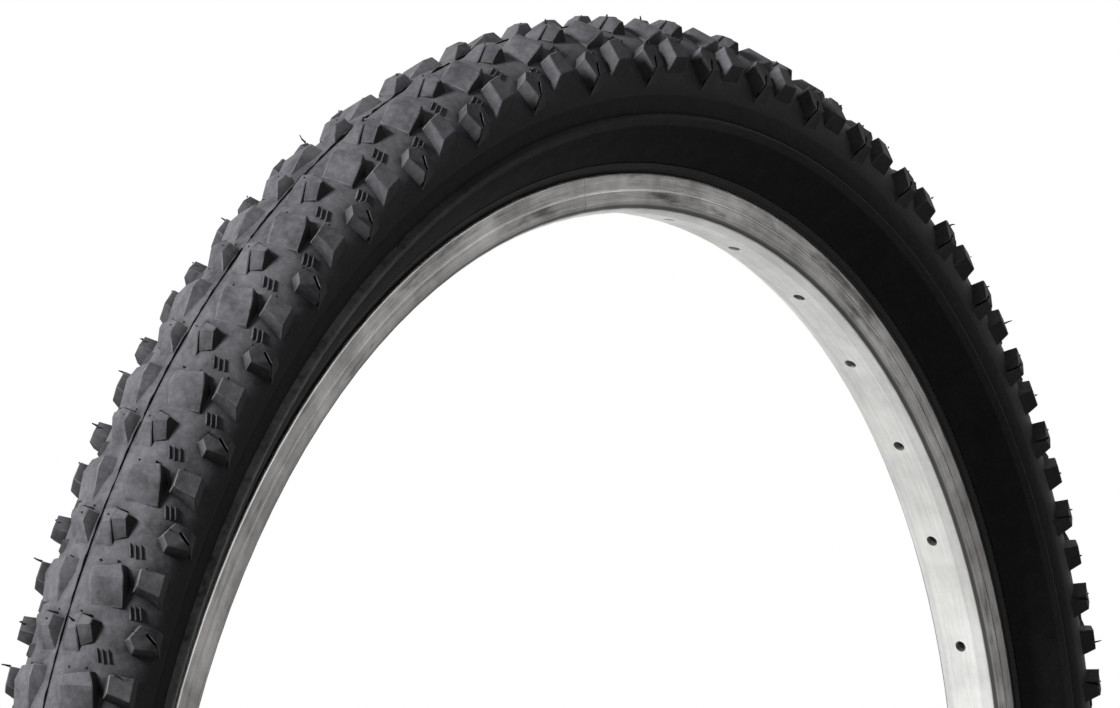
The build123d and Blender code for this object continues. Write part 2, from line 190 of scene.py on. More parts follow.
def grid_faces(rows: int, columns: int, wrap_rows: bool, wrap_columns: bool) -> np.ndarray:
    """Quads of a grid whose points are numbered row by row.

    Args:
        rows: number of rows.
        columns: number of columns.
        wrap_rows: whether the last row joins the first.
        wrap_columns: whether the last column joins the first.
    Returns:
        One row of four corner numbers for each quad.
    """
    i = np.arange(rows if wrap_rows else rows - 1)[:, None]
    j = np.arange(columns if wrap_columns else columns - 1)[None, :]
    i1, j1 = (i + 1) % rows, (j + 1) % columns
    quads = np.stack([i * columns + j, i * columns + j1, i1 * columns + j1, i1 * columns + j], axis=-1)
    return quads.reshape(-1, 4)


def lathe(profile: np.ndarray) -> tuple[np.ndarray, np.ndarray]:
    """Turns a closed profile round the axle: x = r cos(angle), z = r sin(angle), y unchanged.

    Args:
        profile: rows of radius and y, in millimetres, in order round the section.
    Returns:
        The points and the quads of the grid.
    """
    angle = np.linspace(0, 2 * np.pi, HOOP_STEPS, endpoint=False)[:, None]
    r, y = profile.T[:, None, :]
    grid = np.stack([r * np.cos(angle), y + 0 * angle, r * np.sin(angle)], axis=-1)
    return grid.reshape(-1, 3), grid_faces(HOOP_STEPS, len(profile), True, True)


def section_arc(centre_r: float, rho: float, start_deg: float, end_deg: float, steps: int) -> np.ndarray:
    """Arc of a section: r = centre + rho cos(angle) and y = rho sin(angle).

    Args:
        centre_r: radius of the wheel at which the arc's centre lies.
        rho: the arc's own radius.
        start_deg: angle of the first point, from the crown.
        end_deg: angle of the last point.
        steps: number of points.
    Returns:
        Rows of radius and y along the arc.
    """
    angle = np.radians(np.linspace(start_deg, end_deg, steps))
    return np.stack([centre_r + rho * np.cos(angle), rho * np.sin(angle)], axis=-1)


def arc_through(start: tuple[float, float], middle: tuple[float, float], end: tuple[float, float],
                steps: int) -> np.ndarray:
    """Arc through three points of a section: its centre is as far from each, and its angles take equal steps.

    Args:
        start: radius and y of the first point.
        middle: a point on the way.
        end: the last point.
        steps: number of points on the arc.
    Returns:
        Rows of radius and y along the arc.
    """
    (ax, ay), (bx, by), (cx, cy) = start, middle, end
    d = 2 * (ax * (by - cy) + bx * (cy - ay) + cx * (ay - by))
    a2, b2, c2 = ax * ax + ay * ay, bx * bx + by * by, cx * cx + cy * cy
    ox = (a2 * (by - cy) + b2 * (cy - ay) + c2 * (ay - by)) / d
    oy = (a2 * (cx - bx) + b2 * (ax - cx) + c2 * (bx - ax)) / d
    first, last = math.atan2(ay - oy, ax - ox), math.atan2(cy - oy, cx - ox)
    last -= 2 * math.pi * round((last - first) / (2 * math.pi))
    angle = np.linspace(first, last, steps)
    rho = math.hypot(ax - ox, ay - oy)
    return np.stack([ox + rho * np.cos(angle), oy + rho * np.sin(angle)], axis=-1)


# ---------------------------------------------------------------- finishes
class Finish:
    """A surface finish that makes its Blender material once."""

    title: str

    def material(self) -> bpy.types.Material:
        """The material of this finish, made on first use.

        Returns:
            The material that bears the finish's title.
        """
        made = bpy.data.materials.get(self.title)
        if made is None:
            made = bpy.data.materials.new(self.title)
            made.use_nodes = True
            made.node_tree.nodes.clear()
            surface = self.surface(made.node_tree)
            add_node(made.node_tree, "OutputMaterial", links={"Surface": surface.outputs[0]})
        return made

    def surface(self, tree: bpy.types.NodeTree) -> bpy.types.Node:
        """Builds the shader.

        Args:
            tree: the material's node tree.
        Returns:
            The shader node.
        """
        raise NotImplementedError


@dataclass(frozen=True)
class WheelPlace:
    """Sockets that say where on the wheel a point lies, in metres."""

    point: bpy.types.NodeSocket
    x: bpy.types.NodeSocket
    y: bpy.types.NodeSocket
    radius: bpy.types.NodeSocket
    arc: bpy.types.NodeSocket


def around_axle(tree: bpy.types.NodeTree) -> WheelPlace:
    """Coordinates that follow the wheel.

    The radius is the root of x² + z², and the arc is ARC_RADIUS times the angle of x and z.

    Args:
        tree: the node tree.
    Returns:
        The sockets.
    """
    point = add_node(tree, "TexCoord").outputs["Object"]
    x, y, z = add_node(tree, "SeparateXYZ", links={0: point}).outputs
    x2, z2 = (add_node(tree, "Math", {"operation": "MULTIPLY"}, {0: s, 1: s}).outputs[0] for s in (x, z))
    total = add_node(tree, "Math", {"operation": "ADD"}, {0: x2, 1: z2}).outputs[0]
    radius = add_node(tree, "Math", {"operation": "SQRT"}, {0: total}).outputs[0]
    turn = add_node(tree, "Math", {"operation": "ARCTAN2"}, {0: z, 1: x}).outputs[0]
    arc = add_node(tree, "Math", {"operation": "MULTIPLY", 1: ARC_RADIUS}, {0: turn}).outputs[0]
    return WheelPlace(point, x, y, radius, arc)


def weighted_sum(tree: bpy.types.NodeTree, parts: tuple[tuple[float, bpy.types.NodeSocket], ...]
                 ) -> bpy.types.NodeSocket:
    """Adds up values, each times its weight.

    Args:
        tree: the node tree.
        parts: weight and socket of each value.
    Returns:
        The sum's socket.
    """
    (weight, value), *rest = parts
    total = add_node(tree, "Math", {"operation": "MULTIPLY", 1: weight}, {0: value}).outputs[0]
    for weight, value in rest:
        total = add_node(tree, "Math", {"operation": "MULTIPLY_ADD", 1: weight},
                         {0: value, 2: total}).outputs[0]
    return total


@dataclass(frozen=True)
class MouldedRubber(Finish):
    """Vulcanised tyre rubber from a steel mould: dull, nearly black, with fine grain and a trace of dust."""

    title: str
    deep: str  # colour of the dark patches
    worn: str  # colour of the patches that dust and handling have greyed
    grain_mm: float = 0.35  # grit of the mould's wall, near 0.1 mm, drawn coarser so that it shows
    cloud_mm: float = 14.0  # patches of bloom and handling
    rub_mm: float = 2.2  # small rub marks
    cloud_share: float = 0.62  # weight of the patches against that of the rub marks
    spread: tuple[float, float] = (0.36, 0.64)  # mixed values that give the dark and the light colour
    depth_mm: float = 0.05  # height of the grain
    roughness: float = 0.6
    rough_spread: tuple[float, float] = (-0.06, 0.1)  # what the rub marks take from and add to it
    specular: float = 0.08
    fade: tuple[float, float] | None = None  # radii in metres between which the shoulder's colour gives way
    shoulder: str = "#313132"  # colour that it has below them
    left: str = ""  # painted light: colour that its patches turn to on the stretch towards -X, a highlight on the ledge and shade in the hollow, or none
    left_x: tuple[float, float] = (-0.07, -0.19)  # where along X, in metres, that starts and is full
    left_spread: tuple[float, float] = (0.3, 0.55)  # mixed values at which a patch starts and ends its turn
    corner_mm: float = 0.0  # reach of the painted shade in corners, which darkens where little open sky reaches
    corner_open: tuple[float, float] = (0.42, 0.97)  # shares of open sky at which the painted shade is full and gone
    corner_kept: float = 0.12  # share of the colour that full painted shade leaves
    # colour of the painted shade in corners
    corner_shade: str = "#000000"

    def surface(self, tree: bpy.types.NodeTree) -> bpy.types.Node:
        """Principled shader: patches and rub marks give the colour and gloss, grain and rub marks the relief.

        Args:
            tree: the material's node tree.
        Returns:
            The shader node.
        """
        place = add_node(tree, "TexCoord").outputs["Object"]
        cloud, grain, rubs = (
            add_node(tree, "TexNoise", {"Scale": 1 / (size * MM), "Detail": detail, "Roughness": rough},
                     {"Vector": place}).outputs["Fac"]
            for size, detail, rough in (
                (self.cloud_mm, 5.0, 0.6), (self.grain_mm, 2.0, 0.5), (self.rub_mm, 4.0, 0.65)))
        mixed = weighted_sum(tree, ((self.cloud_share, cloud), (1 - self.cloud_share, rubs)))
        colour = add_node(tree, "ValToRGB", links={"Fac": mixed},
                          stops=((self.spread[0], self.deep), (self.spread[1], self.worn))).outputs["Color"]
        if self.fade:
            colour = self.faded(tree, colour)
        # painted light on the stretch towards -X
        if self.left:
            colour = self.turned(tree, colour, mixed)
        # painted shade in corners, found by ambient occlusion
        if self.corner_mm:
            colour = self.with_corner_shade(tree, colour)
        less, more = self.rough_spread
        rough = add_node(tree, "MapRange", {"To Min": self.roughness + less, "To Max": self.roughness + more},
                         {"Value": rubs}).outputs[0]
        fine = add_node(tree, "Bump", {"Strength": 1.0, "Distance": self.depth_mm * MM}, {"Height": grain})
        broad = add_node(tree, "Bump", {"Strength": 1.0, "Distance": self.depth_mm * 2 * MM},
                         {"Height": rubs, "Normal": fine.outputs[0]})
        return add_node(tree, "BsdfPrincipled", {"Specular IOR Level": self.specular, "IOR": 1.5},
                        {"Base Color": colour, "Roughness": rough, "Normal": broad.outputs[0]})

    def faded(self, tree: bpy.types.NodeTree, colour: bpy.types.NodeSocket) -> bpy.types.NodeSocket:
        """The shoulder's colour at the inner radius, turning smoothly to the given one at the outer.

        Args:
            tree: the material's node tree.
            colour: the colour of the top.
        Returns:
            The socket of the colour with its fade.
        """
        part = add_node(tree, "MapRange", {"From Min": self.fade[0], "From Max": self.fade[1],
                                           "interpolation_type": "SMOOTHSTEP"},
                        {"Value": around_axle(tree).radius}).outputs[0]
        return add_node(tree, "Mix", {"data_type": "RGBA", MIX_A: srgb(self.shoulder)},
                        {0: part, MIX_B: colour}).outputs[MIX_OUT]

    def turned(self, tree: bpy.types.NodeTree, colour: bpy.types.NodeSocket,
               mixed: bpy.types.NodeSocket) -> bpy.types.NodeSocket:
        """The colour with patches of painted light, the given colour, where x is low: share = step in x times
        step in patches.

        Args:
            tree: the material's node tree.
            colour: the colour so far.
            mixed: the value of the patches.
        Returns:
            The socket of the new colour.
        """
        along = add_node(tree, "MapRange", {"From Min": self.left_x[0], "From Max": self.left_x[1],
                                            "interpolation_type": "SMOOTHSTEP"},
                         {"Value": around_axle(tree).x}).outputs[0]
        start, full = self.left_spread
        patchy = add_node(tree, "MapRange", {"From Min": start, "From Max": full},
                          {"Value": mixed}).outputs[0]
        share = add_node(tree, "Math", {"operation": "MULTIPLY"}, {0: along, 1: patchy}).outputs[0]
        return add_node(tree, "Mix", {"data_type": "RGBA", MIX_B: srgb(self.left)},
                        {0: share, MIX_A: colour}).outputs[MIX_OUT]

    def with_corner_shade(self, tree: bpy.types.NodeTree, colour: bpy.types.NodeSocket) -> bpy.types.NodeSocket:
        """The colour turned towards painted shade where little open sky reaches the rubber, in corners and at
        the knobs' feet.

        Args:
            tree: the material's node tree.
            colour: the colour so far.
        Returns:
            The socket of the new colour.
        """
        sky = add_node(tree, "AmbientOcclusion", {"samples": 6, "Distance": self.corner_mm * MM})
        least, most = self.corner_open
        kept = add_node(tree, "MapRange", {"From Min": least, "From Max": most, "To Min": self.corner_kept},
                        {"Value": sky.outputs["AO"]}).outputs[0]
        return add_node(tree, "Mix", {"data_type": "RGBA", MIX_A: srgb(self.corner_shade)},
                        {0: kept, MIX_B: colour}).outputs[MIX_OUT]


@dataclass(frozen=True)
class BrushedAluminium(Finish):
    """Extruded and turned aluminium: bright, with fine lines along the hoop and dull smears from handling."""

    title: str = "brushed aluminium"
    bright: str = "#f3f3f2"
    dull: str = "#d2d1d0"
    spread: tuple[float, float] = (0.38, 0.6)  # mixed values that give the dull and the bright colour
    side_bright: str = "#9c9a99"  # the braking face is darkened by pad dust
    side_dull: str = "#5f5d5c"
    side_spread: tuple[float, float] = (0.36, 0.62)  # and those of the braking face
    side_y: tuple[float, float] = (0.0115, 0.0121)  # half widths between which the braking face begins
    line_mm: float = 0.22  # pitch of the turning lines, near 0.1 mm, drawn coarser so that they show
    broad_mm: float = 1.6  # wider bands between them
    line_squeeze: float = 0.02  # share of its real length that an arc counts for, so that the lines run long
    smear_mm: float = 22.0  # smears from handling
    shares: tuple[float, float, float] = (0.5, 0.3, 0.2)  # weights of the smears, the lines and the bands
    smudge: str = "#2b2a29"  # colour of streaks of pad dust on the braking face
    smudge_mm: float = 4.5  # their width
    smudge_squeeze: float = 0.16  # as line_squeeze, for streaks about six times as long as wide
    smudge_spread: tuple[float, float] = (0.56, 0.7)  # noise values at which a streak starts and is full
    smudge_share: float = 0.75  # how much of the metal's colour a full one hides
    rough: tuple[float, float] = (0.48, 0.3)  # roughness where it is dull and where it is bright
    rough_at: tuple[float, float] = (0.35, 0.65)  # mixed values that give them
    line_depth_mm: float = 0.02  # depth of the lines
    lip: tuple[float, float] = (0.28440, 0.2870)  # radii of the outer edge, which gets a painted highlight, in metres
    groove: tuple[float, float] = (0.27845, 0.27875)  # radii between which the wear line's edge lies
    highlight_share: float = 0.45  # share of the pad dust taken off the lip and the wear line's -X stretch, for a painted highlight
    groove_shade_x: tuple[float, float] = (0.02, 0.1)  # where along X the wear line turns from painted highlight to painted shade
    painted_shade: str = "#2e2d2c"  # colour of that painted shade, and of the painted shade along the hub-side corner
    painted_shade_share: float = 0.92  # how much of the metal's colour the corner's painted shade hides
    corner_y: float = 0.0113  # half width at which that corner lies
    corner_r: float = 0.2748  # radius that its painted shade stays below
    corner_reach: tuple[float, float] = (0.0009, 0.0003)  # distances in y at which it starts and is full

    @staticmethod
    def band_mask(tree: bpy.types.NodeTree, radius: bpy.types.NodeSocket, low: float,
                  high: float) -> bpy.types.NodeSocket:
        """One between two radii and none elsewhere.

        Args:
            tree: the material's nodes.
            radius: the socket that gives the distance from the axle.
            low: inner radius in metres.
            high: outer radius in metres.
        Returns:
            The mask's socket.
        """
        above = add_node(tree, "Math", {"operation": "GREATER_THAN", 1: low}, {0: radius}).outputs[0]
        below = add_node(tree, "Math", {"operation": "LESS_THAN", 1: high}, {0: radius}).outputs[0]
        return add_node(tree, "Math", {"operation": "MULTIPLY"}, {0: above, 1: below}).outputs[0]

    @staticmethod
    def drawn_out(tree: bpy.types.NodeTree, place: WheelPlace, squeeze: float) -> bpy.types.NodeSocket:
        """Radius, y and squeezed arc as coordinates, on which a pattern is drawn out along the hoop."""
        arc = add_node(tree, "Math", {"operation": "MULTIPLY", 1: squeeze}, {0: place.arc}).outputs[0]
        return add_node(tree, "CombineXYZ", links={0: place.radius, 1: place.y, 2: arc}).outputs[0]

    def dust_and_highlight_mask(self, tree: bpy.types.NodeTree, place: WheelPlace, half_y: bpy.types.NodeSocket,
                  groove_highlight: bpy.types.NodeSocket) -> bpy.types.NodeSocket:
        """Pad dust: the braking face less a share of the lip and of the wear line's -X stretch, where painted
        highlights lie.

        Args:
            tree: the material's nodes.
            place: where on the wheel the point lies.
            half_y: the socket of y without its sign.
            groove_highlight: the mask of the wear line's painted highlight.
        Returns:
            The mask's socket.
        """
        face = add_node(tree, "MapRange", {"From Min": self.side_y[0], "From Max": self.side_y[1]},
                        {"Value": half_y}).outputs[0]
        lip = self.band_mask(tree, place.radius, *self.lip)
        # painted highlights on the lip and the wear line take off a share of the pad dust
        bare = add_node(tree, "Math", {"operation": "MAXIMUM"}, {0: lip, 1: groove_highlight}).outputs[0]
        bare = add_node(tree, "Math", {"operation": "MULTIPLY", 1: self.highlight_share}, {0: bare}).outputs[0]
        return add_node(tree, "Math", {"operation": "SUBTRACT", "use_clamp": True},
                        {0: face, 1: bare}).outputs[0]

    def painted_shade_mask(self, tree: bpy.types.NodeTree, place: WheelPlace, half_y: bpy.types.NodeSocket,
                  groove_shade: bpy.types.NodeSocket) -> bpy.types.NodeSocket:
        """Painted shade: it lies where y is near the hub-side corner and the radius below it, and in the wear
        line's +X stretch.

        Args:
            tree: the material's nodes.
            place: where on the wheel the point lies.
            half_y: the socket of y without its sign.
            groove_shade: the mask of the wear line's painted shade.
        Returns:
            The mask's socket.
        """
        off = add_node(tree, "Math", {"operation": "SUBTRACT", 1: self.corner_y}, {0: half_y}).outputs[0]
        off = add_node(tree, "Math", {"operation": "ABSOLUTE"}, {0: off}).outputs[0]
        near = add_node(tree, "MapRange", {"From Min": self.corner_reach[0], "From Max": self.corner_reach[1],
                                           "To Max": self.painted_shade_share, "interpolation_type": "SMOOTHSTEP"},
                        {"Value": off}).outputs[0]
        low = add_node(tree, "Math", {"operation": "LESS_THAN", 1: self.corner_r}, {0: place.radius})
        corner = add_node(tree, "Math", {"operation": "MULTIPLY"}, {0: near, 1: low.outputs[0]}).outputs[0]
        return add_node(tree, "Math", {"operation": "MAXIMUM"}, {0: corner, 1: groove_shade}).outputs[0]

    def surface(self, tree: bpy.types.NodeTree) -> bpy.types.Node:
        """Principled metal: lines, bands and smears give colour and gloss, and masks lay pad dust, painted
        highlights and painted shade on.

        Args:
            tree: the material's node tree.
        Returns:
            The shader node.
        """
        place = around_axle(tree)
        along = self.drawn_out(tree, place, self.line_squeeze)
        streaks = self.drawn_out(tree, place, self.smudge_squeeze)
        lines, broad, smear, streak = (
            add_node(tree, "TexNoise", {"Scale": 1 / (size * MM), "Detail": detail, "Roughness": rough},
                     {"Vector": where}).outputs["Fac"]
            for size, detail, rough, where in (
                (self.line_mm, 3.0, 0.6, along), (self.broad_mm, 2.0, 0.5, along),
                (self.smear_mm, 5.0, 0.62, place.point), (self.smudge_mm, 4.0, 0.6, streaks)))
        mixed = weighted_sum(tree, tuple(zip(self.shares, (smear, lines, broad))))
        start, full = self.smudge_spread
        smudged = add_node(tree, "MapRange", {"From Min": start, "From Max": full,
                                              "To Max": self.smudge_share}, {"Value": streak}).outputs[0]
        half_y = add_node(tree, "Math", {"operation": "ABSOLUTE"}, {0: place.y}).outputs[0]
        # the wear line: a painted highlight on its -X stretch and painted shade on its +X stretch
        wear_line = self.band_mask(tree, place.radius, *self.groove)
        groove_shade = add_node(tree, "MapRange", {"From Min": self.groove_shade_x[0], "From Max": self.groove_shade_x[1]},
                         {"Value": place.x}).outputs[0]
        groove_shade = add_node(tree, "Math", {"operation": "MULTIPLY"}, {0: wear_line, 1: groove_shade}).outputs[0]
        groove_highlight = add_node(tree, "Math", {"operation": "SUBTRACT"}, {0: wear_line, 1: groove_shade}).outputs[0]
        bare, side = (
            add_node(tree, "ValToRGB", links={"Fac": mixed},
                     stops=((spread[0], dull), (spread[1], bright))).outputs["Color"]
            for spread, dull, bright in (
                (self.spread, self.dull, self.bright), (self.side_spread, self.side_dull, self.side_bright)))
        side = add_node(tree, "Mix", {"data_type": "RGBA", MIX_B: srgb(self.smudge)},
                        {0: smudged, MIX_A: side}).outputs[MIX_OUT]
        colour = add_node(tree, "Mix", {"data_type": "RGBA"}, {
            0: self.dust_and_highlight_mask(tree, place, half_y, groove_highlight), MIX_A: bare, MIX_B: side}).outputs[MIX_OUT]
        # painted shade along the hub-side corner and the wear line's +X stretch
        colour = add_node(tree, "Mix", {"data_type": "RGBA", MIX_B: srgb(self.painted_shade)}, {
            0: self.painted_shade_mask(tree, place, half_y, groove_shade), MIX_A: colour}).outputs[MIX_OUT]
        low, high = self.rough_at
        rough = add_node(tree, "MapRange", {"From Min": low, "From Max": high, "To Min": self.rough[0],
                                            "To Max": self.rough[1]}, {"Value": mixed}).outputs[0]
        depth = self.line_depth_mm * MM
        bump = add_node(tree, "Bump", {"Strength": 0.6, "Distance": depth}, {"Height": lines})
        return add_node(tree, "BsdfPrincipled", {"Metallic": 1.0},
                        {"Base Color": colour, "Roughness": rough, "Normal": bump.outputs[0]})


@dataclass(frozen=True)
class SmallPart(Finish):
    """Small turned or moulded part with light wear."""

    title: str
    low: str  # colour of the handled patches
    high: str  # colour of the clean ones
    metallic: float = 1.0
    roughness: float = 0.35
    rough_spread: tuple[float, float] = (-0.1, 0.15)  # what the wear takes from and adds to it
    wear_mm: float = 3.0  # patches of wear
    depth_mm: float = 0.03  # and their relief

    def surface(self, tree: bpy.types.NodeTree) -> bpy.types.Node:
        """Principled shader: worn patches give the colour, the gloss and a slight relief.

        Args:
            tree: the material's node tree.
        Returns:
            The shader node.
        """
        place = add_node(tree, "TexCoord").outputs["Object"]
        wear = add_node(tree, "TexNoise", {"Scale": 1 / (self.wear_mm * MM), "Detail": 5.0, "Roughness": 0.6},
                        {"Vector": place}).outputs["Fac"]
        colour = add_node(tree, "ValToRGB", links={"Fac": wear}, stops=((0.35, self.low), (0.65, self.high)))
        less, more = self.rough_spread
        rough = add_node(tree, "MapRange", {"To Min": self.roughness + less, "To Max": self.roughness + more},
                         {"Value": wear})
        bump = add_node(tree, "Bump", {"Strength": 0.4, "Distance": self.depth_mm * MM}, {"Height": wear})
        return add_node(tree, "BsdfPrincipled", {"Metallic": self.metallic, "Specular IOR Level": 0.35},
                        {"Base Color": colour.outputs["Color"], "Roughness": rough.outputs[0],
                         "Normal": bump.outputs[0]})


@dataclass(frozen=True)
class WovenCord(Finish):
    """Rubberised cord cloth: parallel threads on a slant under a skin of rubber."""

    title: str
    thread: str  # colour on the threads
    gap: str  # colour between them
    pitch_mm: float  # thread spacing, drawn at least a fifth coarser so that it shows
    depth_mm: float = 0.15  # how far the threads stand out

    def surface(self, tree: bpy.types.NodeTree) -> bpy.types.Node:
        """Principled shader: slanted bands of a wave give the threads' colour and relief.

        Args:
            tree: the material's node tree.
        Returns:
            The shader node.
        """
        place = around_axle(tree)
        spot = add_node(tree, "CombineXYZ", links={0: place.y, 1: place.arc, 2: place.radius}).outputs[0]
        # diagonal bands of scale s stand 0.36 / s apart, so 0.3 / pitch sets them 1.2 pitches apart
        threads = add_node(tree, "TexWave", {"wave_type": "BANDS", "bands_direction": "DIAGONAL",
                                             "Scale": 0.3 / (self.pitch_mm * MM), "Distortion": 0.6},
                           {"Vector": spot}).outputs["Fac"]
        colour = add_node(tree, "ValToRGB", links={"Fac": threads},
                          stops=((0.25, self.gap), (0.7, self.thread)))
        bump = add_node(tree, "Bump", {"Strength": 0.7, "Distance": self.depth_mm * MM}, {"Height": threads})
        return add_node(tree, "BsdfPrincipled", {"Roughness": 0.75, "Specular IOR Level": 0.25},
                        {"Base Color": colour.outputs["Color"], "Normal": bump.outputs[0]})


# tread compound from a blasted mould: a dull grey top that blackens down the shoulder, with painted shade in
# corners
TREAD_RUBBER = MouldedRubber("moulded tread rubber", "#464548", "#717074", fade=(0.313, 0.3245),
                             corner_mm=6.0)
# knob edges: a thin lighter line round each top, a painted highlight
EDGE_RUBBER = MouldedRubber("tread rubber edge with painted highlight", "#484749", "#7a797d", grain_mm=0.6,
                            cloud_mm=5.0, roughness=0.55, specular=0.1, fade=(0.312, 0.3225))
# sidewall skin from a smoother mould: nearly black, with soft grain and hardly any shine
SIDE_RUBBER = MouldedRubber("moulded sidewall rubber", "#272728", "#363637", grain_mm=0.5, cloud_mm=9.0,
                            depth_mm=0.09, specular=0.05)
# knob walls facing the sidewall: darker than the top, partly unworn rubber and partly painted shade, with
# painted shade in the corners towards the foot
WALL_RUBBER = MouldedRubber("unworn knob wall rubber with painted shade", "#29292a", "#3f3f41", grain_mm=0.6,
                            cloud_mm=5.0, specular=0.1, corner_mm=5.0)
# ledge of the sidewall: pale patches on its stretch towards -X, a painted highlight
RIDGE_RUBBER = MouldedRubber("ledge rubber with painted highlight", "#272728", "#363637", grain_mm=0.5, cloud_mm=9.0,
                             roughness=0.65, specular=0.1, left="#98989a")
# hollow under the ledge: deep black patches on its stretch towards -X, painted shade beside the ledge's
# painted highlight
HOLLOW_RUBBER = MouldedRubber("rubber of the hollow above the rim", "#272728", "#363637", grain_mm=0.5,
                              cloud_mm=9.0, roughness=0.7, specular=0.05, left="#080809")
# rubber sheet rolled onto the bead: smooth and black, with a little shine
BEAD_RUBBER = MouldedRubber("calendered chafer rubber", "#1f1f1f", "#2e2e2e", grain_mm=0.8, cloud_mm=8.0,
                            depth_mm=0.06, specular=0.2)
# rubber squeezed out at the mould's joint and vents: thin, black and matt
FLASH_RUBBER = MouldedRubber("thin rubber flash", "#1f1f20", "#2e2e2f", grain_mm=0.6, cloud_mm=5.0,
                             depth_mm=0.06, roughness=0.65, specular=0.05)
# extruded butyl: smooth black rubber with a satin sheen
TUBE_RUBBER = MouldedRubber("butyl tube rubber", "#1d1d1e", "#2d2d2e", grain_mm=0.7, cloud_mm=20.0,
                            depth_mm=0.03, roughness=0.5, specular=0.3)
# extruded hoop, turned on its sides: silvery lines along it, with pad dust on the braking faces, painted
# highlights on the lip and the wear line's -X stretch, and painted shade on the hub-side edge and the wear
# line's +X stretch
RIM_METAL = BrushedAluminium()
# steel drawn through a die: smooth grey, with dull patches where it was handled
DRAWN_STEEL = SmallPart("drawn steel", "#7d7d80", "#a3a3a6")
# brass turned on a lathe: yellow, tarnished in patches
TURNED_BRASS = SmallPart("turned brass", "#8c7a45", "#c2ab6c")
# soft ring cut from red rubber tube: even and matt
SEALING_RUBBER = SmallPart("red sealing ring", "#8c2a20", "#b23a2c", 0.0, 0.5)
# moulded plastic: black with a soft shine
CAP_PLASTIC = SmallPart("moulded black plastic", "#1b1b1c", "#2a2a2b", 0.0, 0.42)
# nickel laid on turned brass: a warm, bright silver
NICKEL_PLATE = SmallPart("nickel plate", "#a9a69f", "#cfccc6", 1.0, 0.25)
# tape woven of fine yarn: black, with a close slanted rib
RIM_TAPE = WovenCord("woven rim tape", "#1c1c1c", "#2f2f2e", 0.6)
# cotton-coloured cords under a skin of rubber: brown threads in dark gaps
CORD_CLOTH = WovenCord("rubberised cord cloth", "#6b5f4c", "#2c2824", 1.1)
# coarser cloth of greyer cord
BREAKER_CLOTH = WovenCord("rubberised breaker cloth", "#4e4a44", "#232120", 1.4)


# ---------------------------------------------------------------- tread
@dataclass(frozen=True)
class Crown:
    """The round of the tread: a circle of half the tyre's width carried round the axle.

    A place is given by u, millimetres along one repeat of the pattern, by an angle across the section from
    the crown, by a height above the tread floor, and by the side. Sizes are in millimetres.
    """

    ring_r: float = 313.0  # centre of the section
    half_width: float = 25.0  # radius of the tread floor round it
    repeats: int = 56
    repeat_mm: float = 38.1
    start_u: float = -4.05  # where along the pattern the start angle lies
    start_deg: float = 154.981  # angle round the axle from +X towards +Z
    edge_deg: float = 88.0  # angle across the section at which the tread ends

    def place(self, u: np.ndarray, across: np.ndarray, height: np.ndarray,
              side: Side | np.ndarray) -> np.ndarray:
        """Points of the tread.

        Args:
            u: millimetres along the pattern.
            across: degrees from the crown.
            height: millimetres above the floor.
            side: the side, or the sides of an array of points.
        Returns:
            x, y and z in millimetres: the section point at r = ring + (half width + height) cos(across),
            y = side (half width + height) sin(across), turned back from the start angle by u.
        """
        u, across, height = (np.asarray(v, dtype=float) for v in (u, across, height))
        turn = np.radians(self.start_deg - (u - self.start_u) / self.repeat_mm * 360 / self.repeats)
        rho, tilt = self.half_width + height, np.radians(across)
        r = self.ring_r + rho * np.cos(tilt)
        return np.stack([r * np.cos(turn), side * rho * np.sin(tilt), r * np.sin(turn)], axis=-1)

    def repeated(self, points: np.ndarray, faces: list[list[int]]) -> tuple[np.ndarray, list[list[int]]]:
        """Copies of a shape at each repeat: every copy is turned one pitch further back round the axle.

        Args:
            points: corners of the first copy.
            faces: its faces.
        Returns:
            Corners and faces of all copies.
        """
        turn = -np.radians(np.arange(self.repeats) * 360 / self.repeats)[:, None]
        x = points[None, :, 0] * np.cos(turn) - points[None, :, 2] * np.sin(turn)
        z = points[None, :, 0] * np.sin(turn) + points[None, :, 2] * np.cos(turn)
        y = np.broadcast_to(points[None, :, 1], x.shape)
        count = len(points)
        every = [np.add(face, k * count).tolist() for k in range(self.repeats) for face in faces]
        return np.stack([x, y, z], axis=-1).reshape(-1, 3), every

    def up_from(self, point: np.ndarray) -> np.ndarray:
        """Direction square to the tread floor: from the section's centre to the point, made one long.

        Args:
            point: x, y and z in millimetres.
        Returns:
            The unit direction.
        """
        centre = np.array([point[0], 0.0, point[2]]) * (self.ring_r / math.hypot(point[0], point[2]))
        away = point - centre
        return away / np.linalg.norm(away)

    def floor_at(self, point: np.ndarray) -> tuple[np.ndarray, float]:
        """Plane through a point, parallel to the tread floor there.

        Args:
            point: x, y and z in millimetres.
        Returns:
            The plane's unit normal and its distance from the origin.
        """
        normal = self.up_from(point)
        return normal, float(normal @ point)

    def drop_onto(self, guess: np.ndarray, *face: np.ndarray) -> np.ndarray:
        """Moves a point square to the tread floor until it lies on the plane of three others.

        Args:
            guess: the point to move.
            *face: the three points.
        Returns:
            The moved point: guess + up (distance - normal · guess) / (normal · up).
        """
        normal, distance = plane_of(*face)
        up = self.up_from(guess)
        return guess + up * ((distance - normal @ guess) / (normal @ up))


def plane_of(a: np.ndarray, b: np.ndarray, c: np.ndarray) -> tuple[np.ndarray, float]:
    """Plane through three points: its normal is the cross product of two edges, made one long.

    Args:
        a: the first point.
        b: the second point.
        c: the third point.
    Returns:
        The unit normal and the plane's distance from the origin.
    """
    normal = np.cross(b - a, c - a)
    normal /= np.linalg.norm(normal)
    return normal, float(normal @ a)


